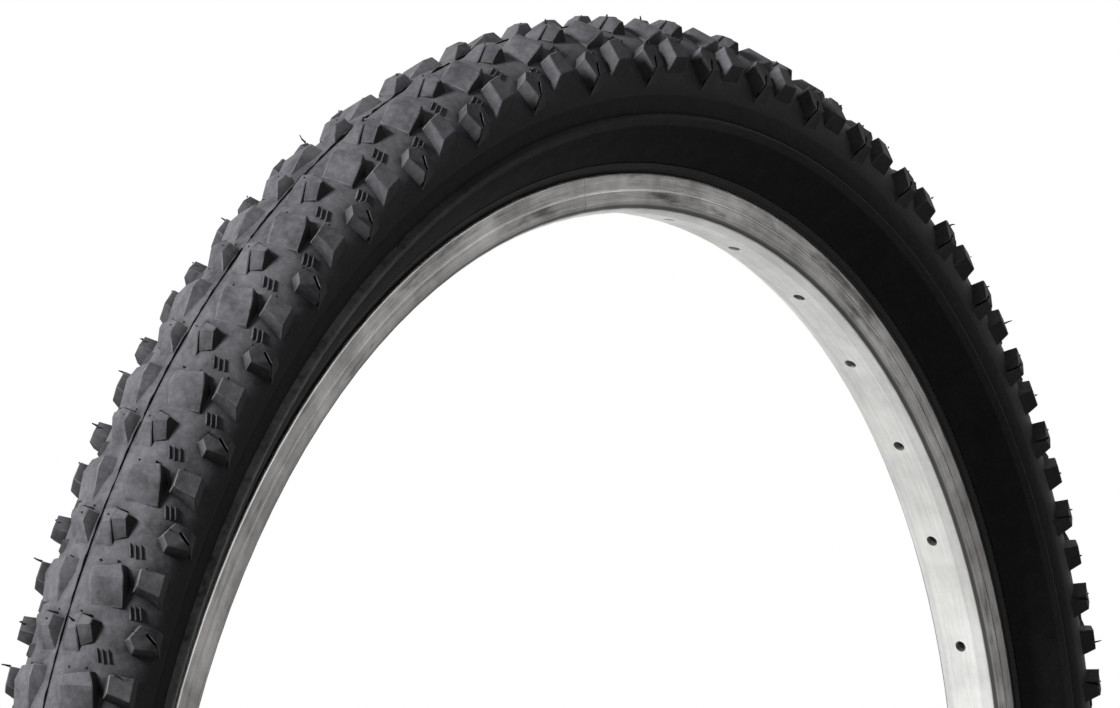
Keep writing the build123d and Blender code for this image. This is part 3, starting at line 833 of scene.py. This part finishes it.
def meeting(end: tuple[np.ndarray, ...], wall: tuple[np.ndarray, ...],
            level: tuple[np.ndarray, float]) -> np.ndarray:
    """Point shared by three planes, from the three equations normal · point = distance.

    Args:
        end: three points of a knob's end.
        wall: three points of its wall.
        level: normal and distance of the floor.
    Returns:
        x, y and z of the point.
    """
    normals, distances = zip(plane_of(*end), plane_of(*wall), level)
    return np.linalg.solve(np.array(normals), np.array(distances))


@dataclass(frozen=True)
class Block:
    """A knob as stations along u, each with two corners on top, and how its foot spreads.

    A station is u of the inner and outer corner, their angles, and the height. The walls are flat, and slope
    as the foot of the second station, or of the first of two, says.
    """

    name: str
    stations: tuple[tuple[float, float, float, float, float], ...]
    lift: float  # how much higher the first outer corner is
    low: float  # how far the foot runs out at the low end
    high: float  # and at the high end
    spread_in: float  # degrees that the foot runs out towards the crown
    spread_out: float  # and towards the sidewall
    reach: float = 0.0  # how much longer the inner edge is on the right side
    foot: float = -0.6
    slotted: bool = False

    def wall_feet(self, crown: Crown, station: np.ndarray, side: Side) -> tuple[np.ndarray, np.ndarray]:
        """Where the inner and outer wall of a station reach the foot.

        Args:
            crown: the round that the knob stands on.
            station: one row of the stations.
            side: the side of the wheel.
        Returns:
            The inner and the outer point.
        """
        return (crown.place(station[0], station[2] - self.spread_in, self.foot, side),
                crown.place(station[1], station[3] + self.spread_out, self.foot, side))

    def rows(self, crown: Crown, side: Side) -> np.ndarray:
        """Corners of the knob, four to a station: inner foot, inner top, outer top, outer foot.

        Outer top corners after the first station are moved square to the floor onto the plane of the facet
        before them, and the feet of the first and last station lie where a wall, an end and the floor meet.

        Args:
            crown: the round that the knob stands on.
            side: the side of the wheel.
        Returns:
            For each station its four corners, as x, y and z in millimetres.
        """
        data = np.array(self.stations)
        last = len(data) - 1
        if side is Side.RIGHT:
            data[:, 0] += self.reach * np.arange(last + 1) / last
        inner = crown.place(data[:, 0], data[:, 2], data[:, 4], side)
        outer = crown.place(data[:, 1], data[:, 3], data[:, 4] + self.lift * (np.arange(last + 1) == 0), side)
        for k in range(1, last + 1):
            outer[k] = crown.drop_onto(outer[k], inner[k - 1], outer[k - 1], inner[k])
        full = min(1, last - 1)
        feet = {full: self.wall_feet(crown, data[full], side)}
        walls = tuple(zip((inner, outer), feet[full]))
        for k, near, run in ((0, 1, -self.low), (last, last - 1, self.high)):
            u_in, u_out, deg_in, deg_out, _ = data[k]
            ground = crown.place((u_in + u_out) / 2 + run, (deg_in + deg_out) / 2, self.foot, side)
            end = (inner[k], outer[k], ground)
            spots = self.wall_feet(crown, data[k], side)
            feet[k] = tuple(meeting(end, (top[k], top[near], foot), crown.floor_at(spot))
                            for (top, foot), spot in zip(walls, spots))
        return np.array([[feet[k][0], inner[k], outer[k], feet[k][1]] for k in range(last + 1)])


@dataclass
class Tread:
    """Tread rubber: band, flash line, knobs, ribs and mould hairs, in millimetres."""

    crown: Crown = field(default_factory=Crown)
    inner_r: float = 311.5  # centre of the underside
    inner_rho: float = 24.85
    lip_deg: float = 0.5  # how far the underside stops short of the edge
    band_steps: tuple[int, int] = (60, 40)  # points of the outer round and of the underside
    bevel: float = 0.28  # width of the eased edges
    bevel_deg: float = 38.0  # edges with a sharper bend than this are eased
    wall_up: float = 0.7  # a wall that gets the unworn rubber with painted shade: its normal leans less than this up from the floor
    wall_out: float = 0.3  # and more than this towards the sidewall
    blocks: tuple[Block, ...] = (
        Block("knob_large", ((-3.2, -1.7, 16.0, 40.2, 0.2),
                             (5.8, 7.4, 13.4, 35.0, 3.9),
                             (9.3, 12.4, 13.0, 30.8, 3.5)),
              lift=0.8, low=0.2, high=0.5, spread_in=8.5, spread_out=8.0, reach=3.0),
        Block("knob_small_inner", ((18.4, 18.6, 3.6, 17.8, 0.2),
                                   (24.9, 25.6, 8.3, 14.2, 3.9),
                                   (29.7, 30.9, 7.2, 16.0, 3.7)),
              lift=0.0, low=0.3, high=0.6, spread_in=6.0, spread_out=5.0),
        Block("knob_small_outer", ((20.7, 22.6, 18.0, 26.4, 0.3),
                                   (26.3, 27.6, 13.0, 23.2, 4.3),
                                   (30.9, 29.7, 13.0, 23.8, 4.2)),
              lift=0.6, low=0.3, high=1.0, spread_in=3.0, spread_out=6.3),
        Block("knob_shoulder_slotted", ((23.0, 25.0, 55.0, 69.3, 5.1),
                                        (26.0, 28.4, 50.1, 68.4, 5.1),
                                        (31.7, 32.2, 55.0, 67.5, 5.1)),
              lift=0.0, low=1.5, high=0.8, spread_in=1.0, spread_out=14.0, slotted=True),
        Block("knob_shoulder_plain", ((5.9, 4.7, 44.8, 61.3, 5.0),
                                      (12.3, 13.4, 44.0, 60.6, 5.0)),
              lift=0.0, low=1.3, high=0.3, spread_in=1.0, spread_out=10.8),
    )
    # the slot's ends, as u, degrees from the crown and height, and how its box goes past that line
    slot_ends: tuple[tuple[float, float, float], ...] = ((28.9, 63.0, 5.6), (23.8, 81.0, 2.6))
    slot_overrun: float = 1.0
    slot_width: float = 0.96
    slot_depth: float = 5.0
    # u and degrees of each rib's middle, and its section: where it starts, is full and ends along u
    ribs: tuple[tuple[float, float], ...] = ((18.7, 32.8), (18.7, 36.9), (19.2, 40.9),
                                             (-2.2, 47.3), (-1.9, 51.1), (-1.4, 54.9))
    rib_u: tuple[float, ...] = (-2.6, -1.9, 1.9, 2.6)
    rib_height: tuple[float, ...] = (-0.1, 0.95, 0.95, -0.1)
    rib_foot: float = -0.2
    rib_half_deg: float = 1.3
    rib_slant: float = -0.85  # degrees across for each millimetre along
    # the flash line: copies round the wheel, waves to a turn and their heights, mean height and its limits
    fin_steps: int = 5 * HOOP_STEPS
    fin_waves: tuple[int, ...] = (31, 53, 97, 173, 311)
    fin_swings: tuple[float, ...] = (0.1, 0.08, 0.1, 0.09, 0.12)
    fin_height: float = 0.62
    fin_limits: tuple[float, float] = (0.25, 1.4)
    fin_leans: tuple[tuple[int, float, float], ...] = ((17, 0.06, 1.0), (71, 0.05, 0.0))  # waves, y and phase
    fin_notches: int = 60
    fin_notch_steps: tuple[int, int] = (2, 5)  # from this many copies to fewer than that
    fin_notch_share: float = 0.8  # share of the height that a notch takes away
    fin_y: tuple[float, ...] = (-0.3, -0.22, -0.08, 0.08, 0.22, 0.3)
    fin_sunk: float = 0.5
    # u, degrees and height at which the mould's vents open, and the pegs that they leave: their lengths and
    # how often each comes, the most that one leans as a share of its length, half its width, and its taper as
    # shares of length and width
    vents: tuple[tuple[float, float, float], ...] = ((13.1, 13.2, 0.0), (32.6, 10.8, 0.0), (12.7, 47.6, 5.0),
                                                     (28.9, 51.0, 5.0), (13.8, 27.0, 0.0), (27.8, 11.0, 3.9))
    hair_lengths: tuple[float, ...] = (0.35, 0.5, 0.9, 1.8, 2.8)
    hair_odds: tuple[float, ...] = (0.35, 0.25, 0.2, 0.12, 0.08)
    hair_lean: float = 0.35
    hair_half: float = 0.36
    hair_taper: tuple[tuple[float, float], ...] = ((-0.15, 1.3), (0.5, 0.9), (1.0, 0.55))

    def build(self) -> None:
        """Builds every piece of the tread."""
        self.band()
        self.flash()
        for block in self.blocks:
            self.knobs(block)
        self.rib_sets()
        self.mould_hairs()

    def band(self) -> None:
        """Band of rubber under the knobs: outer round, then the underside back, carried round the axle."""
        edge, inner_edge = self.crown.edge_deg, self.crown.edge_deg - self.lip_deg
        outer = section_arc(self.crown.ring_r, self.crown.half_width, -edge, edge, self.band_steps[0])
        under = section_arc(self.inner_r, self.inner_rho, inner_edge, -inner_edge, self.band_steps[1])
        points, faces = lathe(np.concatenate([outer, under]))
        add_piece("tread_band", points, faces[:, ::-1], (TREAD_RUBBER,), ("tread",))

    def flash(self) -> None:
        """Flash line on the crown: a thin fin whose top edge wanders as a sum of sines round the wheel."""
        steps = self.fin_steps
        a = np.linspace(0, 2 * np.pi, steps, endpoint=False)
        rng = np.random.default_rng(7)
        phases = rng.uniform(0, 6.28, len(self.fin_waves))
        wave = sum(w * np.sin(n * a + p) for n, w, p in zip(self.fin_waves, self.fin_swings, phases))
        notch = np.zeros(steps)
        for spot in rng.integers(0, steps, self.fin_notches):
            notch[(spot + np.arange(rng.integers(*self.fin_notch_steps))) % steps] = 1.0
        level = np.full(steps, self.crown.ring_r + self.crown.half_width)
        height = np.clip(self.fin_height + wave, *self.fin_limits) * (1 - self.fin_notch_share * notch)
        lean = sum(w * np.sin(n * a + p) for n, w, p in self.fin_leans)
        sunk, top = level - self.fin_sunk, level + height
        r = np.stack([sunk, level, top, top, level, sunk], axis=1)
        y = np.array(self.fin_y) + np.outer(lean, [0, 0, 1, 1, 0, 0])
        points = np.stack([r * np.cos(a)[:, None], y, r * np.sin(a)[:, None]], axis=-1).reshape(-1, 3)
        faces = grid_faces(steps, len(self.fin_y), True, True)[:, ::-1]
        add_piece("flash_fin", points, faces, (FLASH_RUBBER,))

    def knobs(self, block: Block) -> None:
        """One kind of knob on both sides, repeated round the wheel.

        Args:
            block: the kind.
        """
        points, faces, zones = np.empty((0, 3)), [], []
        for side in Side:
            corners, sides, slots = self.eased_knob(block, side)
            faces += [[len(points) + v for v in face] for face in sides]
            zones.append(slots)
            points = np.concatenate([points, corners])
        every, all_faces = self.crown.repeated(points, faces)
        add_piece(block.name, every, all_faces, (TREAD_RUBBER, EDGE_RUBBER, WALL_RUBBER),
                  zones=np.tile(np.concatenate(zones), self.crown.repeats))

    def eased_knob(self, block: Block, side: Side) -> tuple[np.ndarray, list[list[int]], np.ndarray]:
        """One knob: the block's corners as a closed box, its slot cut and its edges eased.

        Args:
            block: the kind of knob.
            side: the side of the wheel.
        Returns:
            Its corners in millimetres, its faces, and the material slot of each face.
        """
        rows = block.rows(self.crown, side)
        last = len(rows) - 1
        walls = grid_faces(last + 1, 4, False, True)[:, [1, 0, 3, 2]]  # turned over, to face as the ends do
        mesh = bpy.data.meshes.new("knob")
        mesh.from_pydata(rows.reshape(-1, 3).tolist(), [],
                         [[0, 1, 2, 3], [4 * last + i for i in (3, 2, 1, 0)], *walls.tolist()])
        mesh.materials.append(TREAD_RUBBER.material())
        mesh.materials.append(EDGE_RUBBER.material())
        knob = bpy.data.objects.new("knob", mesh)
        bpy.context.scene.collection.objects.link(knob)
        helpers = [knob]
        if block.slotted:
            cut = knob.modifiers.new("cut", "BOOLEAN")
            cut.operation, cut.object, cut.solver = "DIFFERENCE", self.slot_cutter(side), "EXACT"
            helpers.append(cut.object)
        ease = knob.modifiers.new("ease", "BEVEL")
        # the eased edges take the rubber with the painted highlight
        ease.width, ease.segments, ease.material = self.bevel, 1, int(KnobFace.EDGE)
        ease.limit_method, ease.angle_limit = "ANGLE", math.radians(self.bevel_deg)
        ease.use_clamp_overlap = True
        done = knob.evaluated_get(bpy.context.evaluated_depsgraph_get()).to_mesh()
        corners, faces = read_rows(done.vertices, "co"), [list(face.vertices) for face in done.polygons]
        zones = self.wear(done, side)
        for helper in helpers:
            bpy.data.objects.remove(helper)
        return corners, faces, zones

    def wear(self, knob: bpy.types.Mesh, side: Side) -> np.ndarray:
        """Tells the walls that get the unworn rubber with painted shade from the rest, by how far their
        normals lean up and towards the sidewall.

        Args:
            knob: the eased knob, whose eased edges have their own slot.
            side: the side of the wheel.
        Returns:
            The material slot of each face.
        """
        middle = read_rows(knob.vertices, "co").mean(axis=0)
        up = self.crown.up_from(middle)
        out = np.cross(up, [-middle[2], 0, middle[0]])
        out *= side * np.sign(out[1]) / np.linalg.norm(out)
        normals, centres = read_rows(knob.polygons, "normal"), read_rows(knob.polygons, "center")
        normals *= np.sign(np.sum(normals * (centres - middle), axis=1))[:, None]
        slots = np.empty(len(knob.polygons), dtype=np.int32)
        knob.polygons.foreach_get("material_index", slots)
        # walls facing the sidewall take the darker rubber, partly unworn and partly painted shade
        wall = (abs(normals @ up) < self.wall_up) & (normals @ out > self.wall_out)
        return np.where(wall & (slots == KnobFace.PLAIN), int(KnobFace.WALL), slots)

    def slot_cutter(self, side: Side) -> bpy.types.Object:
        """Thin box along the line of the slot: the middle, and plus or minus half its size on its three axes.

        Args:
            side: the side of the wheel.
        Returns:
            The box, which cuts the slot across the outer corner of a shoulder knob.
        """
        a, b = (self.crown.place(u, across, height, side) for u, across, height in self.slot_ends)
        length = np.linalg.norm(b - a)
        run = (b - a) / length
        up = self.crown.up_from((a + b) / 2)
        up = up - run * (up @ run)
        up /= np.linalg.norm(up)
        half = np.array([length / 2 + self.slot_overrun, self.slot_width / 2, self.slot_depth / 2])
        signs = np.indices((2, 2, 2)).reshape(3, -1).T * 2 - 1
        corners = (a + b) / 2 + (signs * half) @ np.stack([run, np.cross(run, up), up])
        mesh = bpy.data.meshes.new("slot")
        mesh.from_pydata(corners.tolist(), [], [(0, 1, 3, 2), (4, 6, 7, 5), (0, 4, 5, 1), (2, 3, 7, 6),
                                                (0, 2, 6, 4), (1, 5, 7, 3)])
        outwards(mesh)
        box = bpy.data.objects.new("slot", mesh)
        bpy.context.scene.collection.objects.link(box)
        return box

    def rib_sets(self) -> None:
        """Sets of three short slanting ribs between the knobs: a ridge whose ends run down to the floor."""
        u, height = np.array(self.rib_u), np.array(self.rib_height)
        ends = np.array([[0, 1, 2], [9, 11, 10]])
        points, faces = [], []
        for side in Side:
            for centre, angle in self.ribs:
                slant = angle + self.rib_slant * u
                left = self.crown.place(centre + u, slant - self.rib_half_deg, self.rib_foot, side)
                ridge = self.crown.place(centre + u, slant, height, side)
                right = self.crown.place(centre + u, slant + self.rib_half_deg, self.rib_foot, side)
                base = 3 * len(u) * len(points)
                points.append(np.stack([left, ridge, right], 1).reshape(-1, 3))
                faces += (grid_faces(len(u), 3, False, True) + base).tolist() + (ends + base).tolist()
        every, all_faces = self.crown.repeated(np.concatenate(points), faces)
        add_piece("ribs", every, all_faces, (TREAD_RUBBER,))

    def mould_hairs(self) -> None:
        """Mould hairs: four-sided tapering pegs of seeded lengths that lean with the square of the height."""
        rng = np.random.default_rng(11)
        count = self.crown.repeats * len(self.vents) * len(Side)
        pick = np.arange(count)
        u, across, height = (row[:, None] for row in np.array(self.vents)[pick % len(self.vents)].T)
        side = np.where((pick // len(self.vents)) % 2 == 0, Side.LEFT, Side.RIGHT)[:, None]
        u = u + (pick // (len(self.vents) * len(Side)) * self.crown.repeat_mm)[:, None]
        length = rng.choice(self.hair_lengths, count, p=self.hair_odds)[:, None]
        lean = rng.uniform(-self.hair_lean, self.hair_lean, (count, 2)) * length
        ring = np.array([(1, 0), (0, 1), (-1, 0), (0, -1)]) * self.hair_half
        reach = self.crown.half_width + 1.0  # distance from the section's centre, to turn width to degrees
        layers = []
        for t, width in self.hair_taper:
            du = ring[:, 0] * width + lean[:, :1] * t * t
            da = np.degrees((ring[:, 1] * width + lean[:, 1:] * t * t) / reach)
            layers.append(self.crown.place(u + du, across + da, height + length * t + 0 * du, side))
        points = np.stack(layers, axis=1).reshape(-1, 3)
        one = np.concatenate([grid_faces(3, 4, False, True), [[8, 9, 10, 11], [3, 2, 1, 0]]])
        faces = (one + 12 * pick[:, None, None]).reshape(-1, 4)
        add_piece("mould_hairs", points, faces, (FLASH_RUBBER,))


# ---------------------------------------------------------------- sidewalls
@dataclass
class Sidewalls:
    """Black sidewalls with the rim-guard ledge, in millimetres."""

    crown: Crown = field(default_factory=Crown)
    top_deg: float = 89.0  # angle across the section at which the flank starts
    ledge_r: float = 306.6  # radius at which the flank meets the ledge
    ledge_step: float = 2.2  # how far the ledge stands out from the flank
    lip: tuple[tuple[float, float], ...] = ((0.15, -2.3), (-0.15, -1.7), (-0.6, -0.5), (-0.85, -0.12),
                                            (-1.3, 0.02))  # radius and y, from the ledge's radius and width
    bulge: float = 2.0  # how far the hollow run stands out from straight
    casing_r: float = 311.5  # centre of the back's round
    inner_rho: float = 23.75
    bend_deg: float = 140.0  # angle across the section at which the back's round starts
    foot_out: tuple[float, float] = (289.105, 12.988)  # radius and y of the foot's outer corner
    foot_in: tuple[float, float] = (289.485, 12.461)  # and of its inner corner
    steps: tuple[int, int, int] = (9, 22, 16)  # points of the flank, the hollow run and the back
    ledge_columns: tuple[int, int] = (8, 16)  # points of the profile from the flank's end over the ledge
    hollow_columns: tuple[int, int] = (16, 35)  # and from there down to the foot

    def profile(self) -> np.ndarray:
        """Section of one sidewall: round flank, ledge, hollow run down to the bead, back along the casing.

        Returns:
            Rows of radius and y in millimetres, on the right side.
        """
        ring_r, half_width = self.crown.ring_r, self.crown.half_width
        ledge_deg = math.degrees(math.acos((self.ledge_r - ring_r) / half_width))
        flank = section_arc(ring_r, half_width, self.top_deg, ledge_deg - 1.0, self.steps[0])
        ledge_y = half_width * math.sin(math.radians(ledge_deg)) + self.ledge_step
        lip = np.array([self.ledge_r, ledge_y]) + np.array(self.lip)
        middle = ((self.ledge_r + self.foot_out[0]) / 2, (ledge_y + self.foot_out[1]) / 2 + self.bulge)
        run = arc_through(tuple(lip[-1]), middle, self.foot_out, self.steps[1])[1:]
        back = section_arc(self.casing_r, self.inner_rho, self.bend_deg, self.top_deg + 0.5, self.steps[2])
        return np.concatenate([flank, lip, run, [self.foot_in], back])

    def build(self) -> None:
        """Builds both sidewalls: the profile carried round the axle, whose stretches get their own finish."""
        for side in Side:
            profile = self.profile() * (1, side)
            points, faces = lathe(profile)
            low, high = faces.min(axis=1) % len(profile), faces.max(axis=1) % len(profile)
            zones = np.full(len(faces), SidewallZone.PLAIN)
            # the ledge gets the rubber with the painted highlight, and the hollow the one with painted shade
            for zone, (first, last) in ((SidewallZone.LEDGE, self.ledge_columns),
                                        (SidewallZone.HOLLOW, self.hollow_columns)):
                zones[(low >= first) & (high <= last)] = zone
            add_piece(f"sidewall_skin_{side.word}", points, faces, (SIDE_RUBBER, RIDGE_RUBBER, HOLLOW_RUBBER),
                      (f"sidewall_{side.word}",), zones)


# ---------------------------------------------------------------- nodes that keep their shape
@dataclass
class CadParts:
    """Finishes of the nodes that keep their own shape."""

    finishes: dict[str, Finish] = field(default_factory=lambda: {
        "rim": RIM_METAL,
        "rim_joint_pins": DRAWN_STEEL,
        "rim_tape": RIM_TAPE,
        "inner_tube": TUBE_RUBBER,
        "valve_base": TUBE_RUBBER,
        "valve_stem": TURNED_BRASS,
        "valve_core_body": TURNED_BRASS,
        "valve_core_gasket": SEALING_RUBBER,
        "valve_core_pin": TURNED_BRASS,
        "valve_core_seal": TUBE_RUBBER,
        "valve_core_spring": DRAWN_STEEL,
        "valve_cap": CAP_PLASTIC,
        "cap_seal": TUBE_RUBBER,
        "valve_nut": NICKEL_PLATE,
        "casing": CORD_CLOTH,
        "breaker": BREAKER_CLOTH,
        **{f"bead_wire_{side.word}": DRAWN_STEEL for side in Side},
        **{f"bead_filler_{side.word}": BEAD_RUBBER for side in Side},
        **{f"chafer_{side.word}": BEAD_RUBBER for side in Side},
    })

    def dress(self, nodes: dict[str, bpy.types.Object]) -> None:
        """Gives each node its material.

        Args:
            nodes: the frame's objects by node name.
        """
        for name, finish in self.finishes.items():
            for slot in nodes[name].material_slots:
                slot.material = finish.material()
            LOG.info("%s wears %s", name, finish.title)


# ---------------------------------------------------------------- studio
@dataclass(frozen=True)
class Lamp:
    """Round area lamp."""

    name: str
    place: tuple[float, float, float]
    target: tuple[float, float, float]
    size: float  # metres across
    watts: float


@dataclass
class Studio:
    """Floor, light and camera, in metres."""

    floor_z: float = -0.3418
    floor_half: float = 40.0
    floor_seen: str = "#f1f1ef"  # colour to look at
    floor_lit: str = "#4c4c4c"  # colour that it throws back as light, so that the part's underside stays dark
    white_from: tuple[float, float] = (0.9, 1.7)  # distances at which the floor starts to turn to plain white
    dim: float = 0.025  # strength of the world as a light
    lamps: tuple[Lamp, ...] = (
        Lamp("key", (-2.6, 0.95, 2.15), (-0.1, 0.0, 0.1), 0.7, 178.0),
        Lamp("fill", (-0.4, -2.2, 2.4), (0.0, 0.0, 0.1), 1.6, 5.0),
    )
    eye: tuple[float, float, float] = (-2.12705, -1.48903, 0.57031)
    heading_deg: float = 35.0255  # of the line of sight, from +X towards +Y
    pitch_deg: float = -7.6628
    roll_deg: float = -2.4206
    lens: float = 233.91
    sensor: float = 36.0
    clip: tuple[float, float] = (0.1, 200.0)

    def build(self) -> None:
        """Builds the whole studio."""
        self.floor()
        self.world()
        for lamp in self.lamps:
            self.light(lamp)
        self.camera()
        bpy.context.scene.view_settings.view_transform = "Standard"

    @staticmethod
    def seen(tree: bpy.types.NodeTree) -> bpy.types.NodeSocket:
        """One for rays that look, straight, by a gloss or through glass, and none for rays that light.

        Args:
            tree: the node tree.
        Returns:
            The socket of that value.
        """
        rays = add_node(tree, "LightPath").outputs
        looked = rays["Is Camera Ray"]
        for kind in ("Is Glossy Ray", "Is Transmission Ray"):
            looked = add_node(tree, "Math", {"operation": "MAXIMUM"}, {0: looked, 1: rays[kind]}).outputs[0]
        return looked

    def floor(self) -> None:
        """Plain pale floor that keeps shadows near the object and turns to white further away."""
        half, z = self.floor_half, self.floor_z
        mesh = bpy.data.meshes.new("floor")
        mesh.from_pydata([(-half, -half, z), (half, -half, z), (half, half, z), (-half, half, z)], [],
                         [(0, 1, 2, 3)])
        # flat paint: an even pale grey without gloss
        material = bpy.data.materials.new("matt white floor paint")
        material.use_nodes = True
        tree = material.node_tree
        tree.nodes.clear()
        place = add_node(tree, "TexCoord").outputs["Object"]
        reach = add_node(tree, "VectorMath", {"operation": "LENGTH"}, {0: place}).outputs["Value"]
        far = add_node(tree, "MapRange", {"From Min": self.white_from[0], "From Max": self.white_from[1]},
                       {"Value": reach}).outputs[0]
        seen = self.seen(tree)
        amount = add_node(tree, "Math", {"operation": "MULTIPLY"}, {0: far, 1: seen}).outputs[0]
        colour = add_node(tree, "Mix", {"data_type": "RGBA", MIX_A: srgb(self.floor_lit),
                                        MIX_B: srgb(self.floor_seen)}, {0: seen}).outputs[MIX_OUT]
        paint = add_node(tree, "BsdfPrincipled", {"Roughness": 0.8, "Specular IOR Level": 0.1},
                         {"Base Color": colour})
        white = add_node(tree, "Emission", {"Color": (1, 1, 1, 1), "Strength": 1.0})
        both = add_node(tree, "MixShader", links={0: amount, 1: paint.outputs[0], 2: white.outputs[0]})
        add_node(tree, "OutputMaterial", links={"Surface": both.outputs[0]})
        mesh.materials.append(material)
        floor = bpy.data.objects.new("floor", mesh)
        bpy.context.scene.collection.objects.link(floor)

    def world(self) -> None:
        """White to look at, dim as a light."""
        world = bpy.data.worlds.new("studio")
        bpy.context.scene.world = world
        world.use_nodes = True
        tree = world.node_tree
        tree.nodes.clear()
        strength = add_node(tree, "MapRange", {"To Min": self.dim, "To Max": 1.0},
                            {"Value": self.seen(tree)}).outputs[0]
        back = add_node(tree, "Background", {"Color": (1, 1, 1, 1)}, {"Strength": strength})
        add_node(tree, "OutputWorld", links={"Surface": back.outputs[0]})

    def light(self, lamp: Lamp) -> None:
        """Hangs a lamp that looks at its target.

        Args:
            lamp: the lamp.
        """
        data = bpy.data.lights.new(lamp.name, "AREA")
        data.shape, data.size, data.energy = "DISK", lamp.size, lamp.watts
        light = bpy.data.objects.new(lamp.name, data)
        light.location = lamp.place
        light.rotation_euler = (Vector(lamp.target) - Vector(lamp.place)).to_track_quat("-Z", "Y").to_euler()
        bpy.context.scene.collection.objects.link(light)

    def camera(self) -> None:
        """Camera turned by its heading about Z, then its pitch, then its roll about the line of sight."""
        data = bpy.data.cameras.new("camera")
        data.sensor_fit, data.sensor_width, data.lens = "HORIZONTAL", self.sensor, self.lens
        data.clip_start, data.clip_end = self.clip
        camera = bpy.data.objects.new("camera", data)
        turn = (Matrix.Rotation(math.radians(self.heading_deg - 90), 4, "Z")
                @ Matrix.Rotation(math.radians(self.pitch_deg + 90), 4, "X")
                @ Matrix.Rotation(math.radians(self.roll_deg), 4, "Z"))
        camera.matrix_world = Matrix.Translation(self.eye) @ turn
        bpy.context.scene.collection.objects.link(camera)
        bpy.context.scene.camera = camera


def main() -> None:
    """Builds the dressed tyre and its studio."""
    logging.basicConfig(level=logging.INFO, format="%(message)s")
    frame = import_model()
    CadParts().dress(frame["nodes"])
    Tread().build()
    Sidewalls().build()
    Studio().build()


if __name__ == "__main__":
    main()
